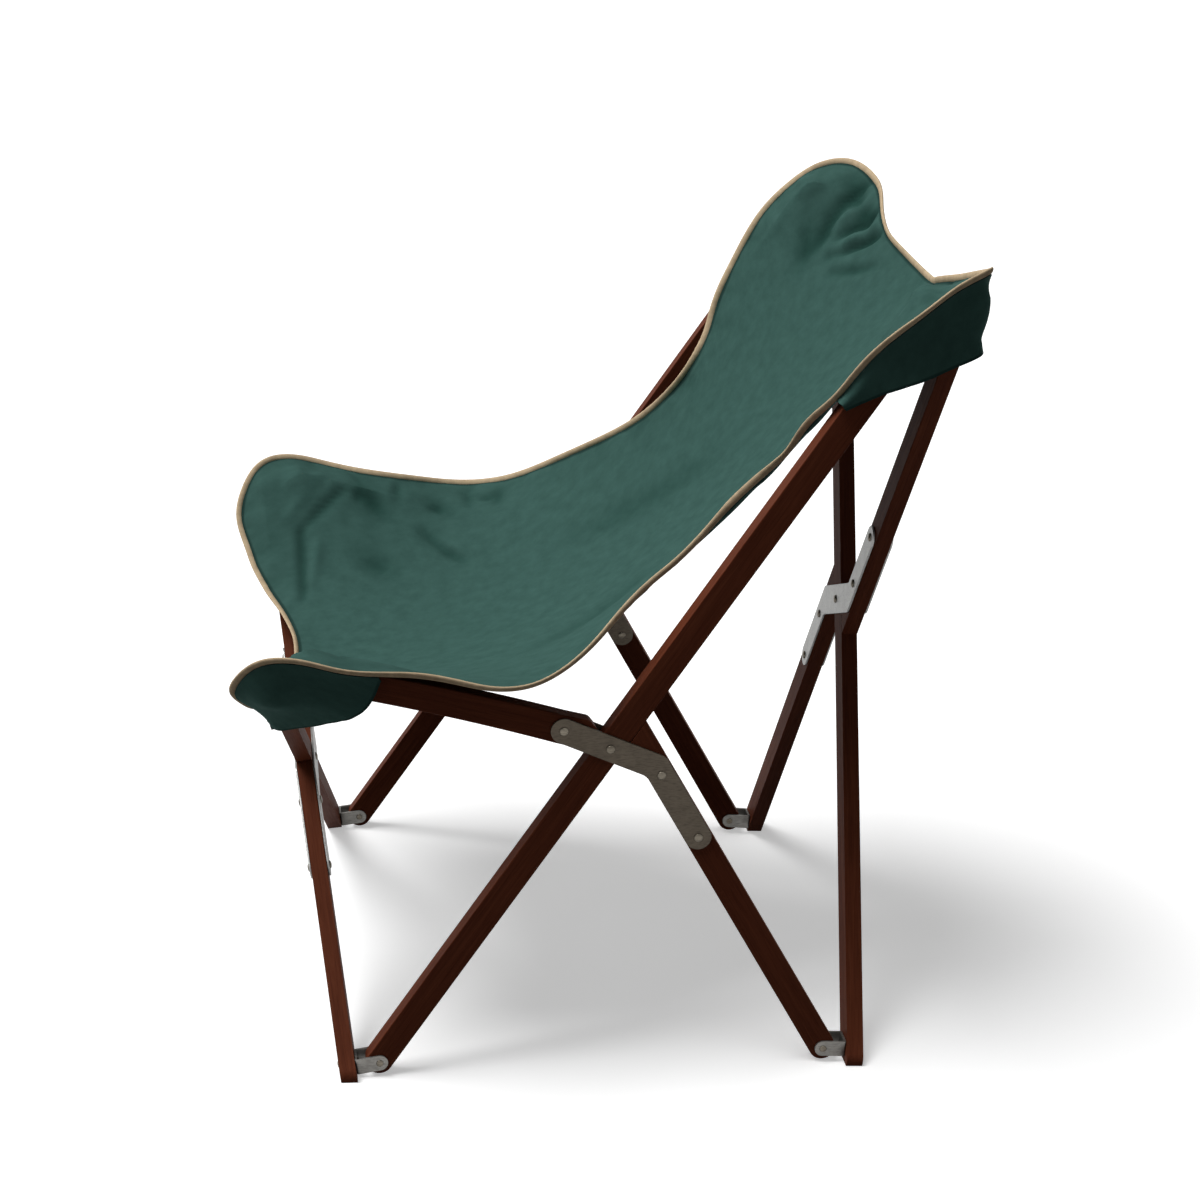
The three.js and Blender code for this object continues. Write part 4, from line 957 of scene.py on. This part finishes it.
piping_wide, piping_thick, piping_gap = 4.4 * MM, 2.2 * MM, 1.0 * MM
under_piping, fold_room, rim_fade, fold_depth = 1.5 * MM, 1.6 * MM, 7 * MM, 8 * MM
rim, rim_places = rim_of(panel)
to_rim, along_rim = rim_distance(panel, rim)
depth = 0.8 * MM * waves(along_rim, 26 * MM, 1.1) * np.exp(-(to_rim / (16 * MM)) ** 2)
depth += 1.6 * MM * waves(along_rim, 74 * MM, 0.4) * np.exp(-(to_rim / (45 * MM)) ** 2)
creases = [((0.842, 0.931), (0.917, 0.875), 8, -5.7), ((0.865, 0.955), (0.935, 0.90), 8, 3.8),
           ((0.92, 0.87), (0.955, 0.73), 8, -8.5), ((0.90, 0.84), (0.925, 0.77), 9, 4.8),
           ((0.808, 0.986), (0.825, 0.917), 8, -4.2), ((0.758, 0.986), (0.767, 0.931), 8, -4.2),
           ((0.667, 0.986), (0.667, 0.93), 8, -3.4), ((0.625, 0.986), (0.625, 0.93), 9, -3.8),
           ((0.79, 0.895), (0.812, 0.935), 17, -7.6), ((0.70, 0.915), (0.716, 0.945), 15, -6.6),
           ((0.635, 0.95), (0.65, 0.965), 13, -5.7), ((0.735, 0.86), (0.685, 0.77), 11, -7.6),
           ((0.715, 0.84), (0.675, 0.79), 9, 4.8), ((0.80, 0.76), (0.83, 0.80), 20, -5.7),
           ((0.012, 0.925), (0.02, 0.75), 13, -9.0), ((0.0, 0.90), (0.03, 0.885), 8, -7.6),
           ((0.0, 0.85), (0.045, 0.85), 9, 6.6),
           ((0.004, 0.80), (0.05, 0.82), 8, -9.5), ((0.008, 0.755), (0.06, 0.79), 9, 7.6),
           ((0.01, 0.72), (0.065, 0.80), 9, -9.5), ((0.03, 0.88), (0.075, 0.84), 12, -9.5),
           ((0.03, 0.66), (0.07, 0.76), 9, -5.7), ((0.07, 0.89), (0.10, 0.83), 14, -6.6),
           ((0.0, 0.12), (0.04, 0.15), 9, -7.6), ((0.0, 0.18), (0.045, 0.20), 9, 5.7),
           ((0.005, 0.26), (0.05, 0.22), 9, -7.6), ((0.10, 0.16), (0.22, 0.16), 26, 5.7),
           ((0.92, 0.13), (0.955, 0.27), 8, -7.6), ((0.86, 0.06), (0.93, 0.12), 9, -4.8),
           ((0.45, 0.30), (0.60, 0.24), 22, -3.8), ((0.30, 0.62), (0.50, 0.72), 30, -3.8)]
for start, end, width, height in creases:
    depth += crease(panel, start, end, width * MM, height * MM)
depth *= np.minimum(1, to_rim / rim_fade)
panel_shape = push_out((panel + depth[..., None] * normals_of(panel)).reshape(-1, 3), True, fold_room,
                       fine_room).reshape(panel.shape)
tangent = np.roll(rim, -1, axis=0) - np.roll(rim, 1, axis=0)
tangent /= np.linalg.norm(tangent, axis=1, keepdims=True)
rows, columns = panel.shape[0] - 1, panel.shape[1] - 1
outward = rim - [panel[min(max(i, 1), rows - 1), min(max(j, 1), columns - 1)] for i, j in rim_places]
for _ in range(2):
    outward -= (outward * tangent).sum(axis=1, keepdims=True) * tangent
    outward /= np.linalg.norm(outward, axis=1, keepdims=True)
    outward = sum(np.roll(outward, k, axis=0) for k in range(-2, 3))
outward /= np.linalg.norm(outward, axis=1, keepdims=True)
curl = outward + np.array([normals_of(panel)[place] for place in rim_places])
curl /= np.linalg.norm(curl, axis=1, keepdims=True)
for place, point in zip(rim_places, rim + (piping_gap + under_piping) * outward):
    panel_shape[place] = point
# Painted shade and light: the fold depth, kept for the canvas, darkens the hollows of the folds and lightens
# their ridges a little.
painted_fold_shade = np.clip(depth / fold_depth, -1, 1)
print("puckers and folds move the cloth from", round(depth.min(), 4), "to", round(depth.max(), 4), "m")

# %% [markdown]
# ## Canvas and tape
# The canvas is a plain weave: two sets of threads, made from the piece's own map in metres. It is dull, with a
# dark line beside its edge that is painted shadow where the binding meets it. The hollows of its folds are
# darkened by their depth as painted shade, which stands in for part of their shading, and their ridges are a
# little lighter as painted light. The binding is a paler tape of coarser weave.


# %% Cloth materials
def threads(tree, pitch):
    """A plain weave: how high the threads stand at each place, from 0 to 1."""
    place = add(tree, "ShaderNodeUVMap", uv_map="cloth").outputs["UV"]
    wave = {"Vector": place, "Scale": 0.314 / pitch, "Distortion": 0.6, "Detail": 1.0}
    warp = add(tree, "ShaderNodeTexWave", wave, bands_direction="X").outputs["Fac"]
    weft = add(tree, "ShaderNodeTexWave", wave, bands_direction="Y").outputs["Fac"]
    return either(tree, warp, weft), place


def cloth_material(name, pitch, dark, light, patch):
    material, tree, shader = new_material(name)
    height, place = threads(tree, pitch)
    spots = add(tree, "ShaderNodeTexNoise", {"Vector": place, "Scale": 1 / patch, "Detail": 4.0,
                                             "Roughness": 0.6})
    tone = ramp(tree, spots.outputs["Fac"], [(0.3, dark), (0.7, light)])
    shade = ranged(tree, height, 0.98, 1.01)
    grey = add(tree, "ShaderNodeCombineColor", {0: shade, 1: shade, 2: shade}).outputs[0]
    colour = mixed(tree, "MULTIPLY", tone, grey)
    bump = add(tree, "ShaderNodeBump", {"Height": height, "Strength": 0.1, "Distance": 0.0003})
    tree.links.new(bump.outputs[0], shader.inputs["Normal"])
    shader.inputs["Roughness"].default_value = 0.9
    shader.inputs["Specular IOR Level"].default_value = 0.04
    return material, tree, shader, colour


canvas, tree, shader, colour = cloth_material("green_canvas", 1.1 * MM, (0.039, 0.093, 0.080),
                                              (0.051, 0.117, 0.101), 0.02)
# Painted shadow: a dark band within about 4 mm of the canvas's rim, where the binding meets it; the pockets get
# it along their hems too.
edge_gap = add(tree, "ShaderNodeAttribute", attribute_name="rim").outputs["Fac"]
painted_edge_shadow = ramp(tree, ranged(tree, edge_gap, 0.0, 1.0, 0.0, 0.01), [(0.25, (1, 1, 1)), (0.45, (0, 0, 0))])
# Painted shade in the hollows of the folds, and a little painted light on their ridges, read from the fold
# attribute.
fold = add(tree, "ShaderNodeAttribute", attribute_name="fold").outputs["Fac"]
painted_hollow_shade = ramp(tree, ranged(tree, fold, 0.0, 1.0, -1.0, 1.0), [(0.0, (0.36, 0.48, 0.45)), (1.0, (1, 1, 1)),
                                                              (0.5, (0.90, 0.90, 0.90))])
colour = mixed(tree, "MULTIPLY", colour, painted_hollow_shade)
colour = mixed(tree, "MULTIPLY", colour, (0.45, 0.48, 0.48, 1), painted_edge_shadow)
tree.links.new(colour, shader.inputs["Base Color"])
tape, tree, shader, colour = cloth_material("edge_tape", 1.6 * MM, (0.45, 0.34, 0.22), (0.62, 0.48, 0.31),
                                            0.012)
tree.links.new(colour, shader.inputs["Base Color"])
print("cloth materials:", canvas.name, tape.name)

# %% [markdown]
# ## The canvas panel in three pieces
# The chair folds, and one stiff sheet couldn't follow. The panel is parted where the frame is: the front part
# rides on the seat stick, the middle on the lower stick and the back on the long stick. When the chair folds
# each part turns with its stick, and the middle part comes away from the other two. The shading is taken from
# the whole panel, so no joint shows while the chair is open.


# %% Panel pieces
def grid_index(bm, columns, rows):
    """The vertices of a flat grid from create_grid, by row and column."""
    index = {}
    for v in bm.verts:
        index[round((v.co.y + 1) / 2 * rows), round((v.co.x + 1) / 2 * columns)] = v
    return index


def sheet_mesh(name, points, normal, thickness, flat, to_edge, folds, material):
    """A closed sheet: its two faces are nets on both sides of the given points, and its rim joins them."""
    rows, columns = points.shape[0] - 1, points.shape[1] - 1
    bm = bmesh.new()
    thickness = np.broadcast_to(thickness, points.shape[:2])
    uv_layer = bm.loops.layers.uv.new("cloth")
    # The fold layer carries the painted fold shade; the rim layer is the distance to the edge, used for the
    # painted edge shadow.
    rim_layer, fold_layer = bm.verts.layers.float.new("rim"), bm.verts.layers.float.new("fold")
    shading = {}
    for side in (1, -1):
        part = bmesh.new()
        bmesh.ops.create_grid(part, x_segments=columns, y_segments=rows, size=1)
        mesh = bpy.data.meshes.new("part")
        index = {key: v.index for key, v in grid_index(part, columns, rows).items()}
        if side < 0:
            bmesh.ops.reverse_faces(part, faces=part.faces[:])
        part.to_mesh(mesh)
        part.free()
        base = len(bm.verts)
        bm.from_mesh(mesh)
        bpy.data.meshes.remove(mesh)
        bm.verts.ensure_lookup_table()
        for (i, j), k in index.items():
            v = bm.verts[base + k]
            v.co = points[i, j] + side * thickness[i, j] / 2 * normal[i, j]
            v[rim_layer], v[fold_layer] = to_edge[i, j], folds[i, j]
            shading[base + k] = (side * normal[i, j], flat[i, j])
    bmesh.ops.bridge_loops(bm, edges=[e for e in bm.edges if e.is_boundary])
    bm.verts.index_update()
    for face in bm.faces:
        face.smooth = True
        for loop in face.loops:
            loop[uv_layer].uv = shading[loop.vert.index][1]
    mesh = bpy.data.meshes.new(name)
    bm.to_mesh(mesh)
    bm.free()
    mesh.normals_split_custom_set([Vector(shading[loop.vertex_index][0]) for loop in mesh.loops])
    obj = bpy.data.objects.new(name, mesh)
    bpy.context.scene.collection.objects.link(obj)
    mesh.materials.append(material)
    return obj


def binding_mesh(bm, centres, outward, half_wide, half_thick, steps=12):
    """A flattened cord along a line of points, widest in the outward direction given at each point."""
    uv_layer = bm.loops.layers.uv.new("cloth") if not bm.loops.layers.uv else bm.loops.layers.uv["cloth"]
    along = np.gradient(centres, axis=0)
    along /= np.linalg.norm(along, axis=1, keepdims=True)
    side = outward - (outward * along).sum(axis=1, keepdims=True) * along
    side /= np.linalg.norm(side, axis=1, keepdims=True)
    third = np.cross(along, side)
    turn = 2 * np.pi * np.arange(steps) / steps
    run = run_along(centres)
    rings = []
    for k in range(len(centres)):
        ring = (centres[k] + half_wide * np.outer(np.cos(turn), side[k])
                + half_thick * np.outer(np.sin(turn), third[k]))
        rings.append([bm.verts.new(p) for p in ring])
    for k, (a, b) in enumerate(zip(rings, rings[1:])):
        for n in range(steps):
            m = (n + 1) % steps
            face = bm.faces.new((a[n], a[m], b[m], b[n]))
            corners = ((k, n), (k, n + 1), (k + 1, n + 1), (k + 1, n))
            for loop, (at, step) in zip(face.loops, corners):
                loop[uv_layer].uv = (run[at], step / steps * 2 * np.pi * half_thick)
    for ring in (rings[0][::-1], rings[-1]):
        bm.faces.new(ring)


panel_normal = normals_of(panel_shape)
flat_across = np.array([run_along(row) - run_along(row)[columns // 2] for row in panel])
flat_along = run_along(panel[:, columns // 2])[:, None] + 0 * flat_across
flat_place = np.dstack((flat_across, flat_along))


def row_nearest(point):
    """The row whose end at the left edge is nearest to a point of the frame."""
    return int(np.linalg.norm(panel[:, 0] - np.array(point), axis=1).argmin())


cuts = [0, row_nearest(side_point(1, pivot)), row_nearest(side_point(1, hinge)), rows]
bands = [("back", "left_long"), ("middle", "left_lower"), ("front", "left_seat")]
print("the panel is parted at rows", cuts[1:3], "of", rows)
panel_pieces = []
cloth_thickness, fold_keep = 1.6 * MM, 0.12
for (word, body), start, end in zip(bands, cuts, cuts[1:]):
    band = slice(start, end + 1)
    piece = sheet_mesh(f"sling_{word}_canvas", panel_shape[band], panel_normal[band], cloth_thickness,
                       flat_place[band], to_rim[band], painted_fold_shade[band], canvas)
    panel_pieces.append(piece)
    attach(piece, body)
    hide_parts("sling_panel")
print("panel pieces:", [piece.name for piece in panel_pieces])

# %% [markdown]
# ## Corner pockets
# Each corner of the panel is a pocket that slips over the end of a stick. Its cloth starts just under the
# panel's edge, wraps round the stick end and ends in a thick hem.


# %% Pockets
pocket_room, pocket_drop, pocket_rows = 5 * MM, 2 * MM, 22
hem_depth, hem_thickness = 14 * MM, 3.2 * MM
ripple_height, ripple_length, ripple_depth = 0.7 * MM, 52 * MM, 30 * MM


def smooth_over(grid, inside):
    """A smoother net that still lies outside the given one, as seen from a place inside."""
    smooth = grid.copy()
    for _ in range(24):
        smooth[1:-1, 1:-1] = (smooth[:-2, 1:-1] + smooth[2:, 1:-1] + smooth[1:-1, :-2]
                              + smooth[1:-1, 2:]) / 4
        smooth[-1, 1:-1] = (smooth[-1, :-2] + 2 * smooth[-1, 1:-1] + smooth[-1, 2:]) / 4
    away = normals_of(smooth)
    away *= np.sign((away * (smooth - inside)).sum(axis=2).mean())
    lift = np.maximum(((grid - smooth) * away).sum(axis=2), 0)
    for step in range(14):
        padded = np.pad(lift, 1, mode="edge")
        near = np.stack((padded[:-2, 1:-1], padded[2:, 1:-1], padded[1:-1, :-2], padded[1:-1, 2:], lift))
        lift = near.max(axis=0) if step < 5 else near.mean(axis=0)
    lift *= np.minimum(1, np.arange(len(lift)) / 6)[:, None]
    return smooth + lift[..., None] * away


def pocket(hand, back):
    rear = "back" if back else "front"
    flip = mirror if hand < 0 else np.ones(3)
    edge_column = 0 if hand > 0 else columns
    side_start = outline_points(side_edge)[5 if back else 20]
    side_row = np.linalg.norm(panel[:, 0] - side_start, axis=1).argmin()
    end_row = 0 if back else rows
    end_stop = outline_points(back_edge if back else front_edge)[5] * flip
    stop = np.linalg.norm(panel[end_row] - end_stop, axis=1).argmin()
    way = 1 if end_row > side_row else -1
    places = [(i, edge_column) for i in range(side_row, end_row, way)]
    places += [(end_row, j) for j in range(edge_column, stop, 1 if hand > 0 else -1)] + [(end_row, stop)]
    arch = np.array([panel_shape[p] - pocket_drop * panel_normal[p] for p in places])
    shares = run_along(arch) / run_along(arch)[-1]
    table = back_hem if back else left_front_hem if hand > 0 else right_front_hem
    hem = spaced(outline_points(table) * flip, shares)
    down = np.linspace(0, 1, pocket_rows + 1)
    sides = [arch[k] + down[:, None] * (hem[k] - arch[k]) for k in (0, -1)]
    grid = net(arch, hem, *sides, down, shares)
    grid[1:] = push_out(grid[1:].reshape(-1, 3), False, pocket_room, fine_room).reshape(grid[1:].shape)
    grid = smooth_over(relax(grid, down, shares, 0, 60, False, pocket_room, fine_room),
                       np.array(side_point(hand, top_rear if back else top_front)))
    to_hem, along_hem = rim_distance(grid, grid[-1])
    away = grid - np.array(side_point(hand, top_rear if back else top_front))
    outward = normals_of(grid)
    outward *= np.sign((outward * away).sum(axis=2).mean())
    ripple = ripple_height * np.abs(waves(along_hem, ripple_length, hand + rear.count("o")))
    ripple *= np.exp(-(to_hem / ripple_depth) ** 2)
    ripple *= np.minimum(1, np.arange(pocket_rows + 1) / 5)[:, None]
    grid = grid + ripple[..., None] * outward
    thickness = np.where(to_hem < hem_depth, hem_thickness, cloth_thickness)
    flat = np.dstack((np.tile(run_along(arch), (pocket_rows + 1, 1)),
                      np.apply_along_axis(run_along_line, 0, np.linalg.norm(np.diff(grid, axis=0), axis=2))))
    name = f"{'left' if hand > 0 else 'right'}_{rear}_pocket"
    piece = sheet_mesh(name + "_canvas", grid, normals_of(grid), thickness, flat, to_hem, 0 * to_hem, canvas)
    side = name.split("_")[0]
    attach(piece, f"{side}_{'long' if back else 'seat'}")
    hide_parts(name)
    return piece


def run_along_line(steps):
    return np.r_[0, np.cumsum(steps)]


for hand in (1, -1):
    pocket(hand, True)
    pocket(hand, False)

# %% [markdown]
# ## Piping
# A flattened binding of pale tape is sewn along the whole edge. It is parted where the panel is, so that it
# folds with the cloth beside it.

# %% Piping along the edges
binding_out = 2 * MM
binding_line = rim + binding_out * outward + 0.6 * piping_wide * curl
rim_rows = np.array([i for i, _ in rim_places])
for piece, (word, body), start, end in zip(panel_pieces, bands, cuts, cuts[1:]):
    inside = (rim_rows >= start) & (rim_rows <= end)
    first = next(k for k in range(len(inside)) if inside[k] and not inside[k - 1])
    order = np.roll(np.arange(len(inside)), -first)
    runs = np.split(order, np.flatnonzero(np.diff(inside[order].astype(int))) + 1)
    bm = bmesh.new()
    for run in runs:
        if inside[run[0]]:
            binding_mesh(bm, binding_line[run], curl[run], piping_wide, piping_thick)
    edging = to_object(f"sling_{word}_piping", bm, tape, smooth=80)
    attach(edging, body)
    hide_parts("piping")
    band = slice(start, end + 1)
    for cloth in (piece, edging):
        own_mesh(cloth)
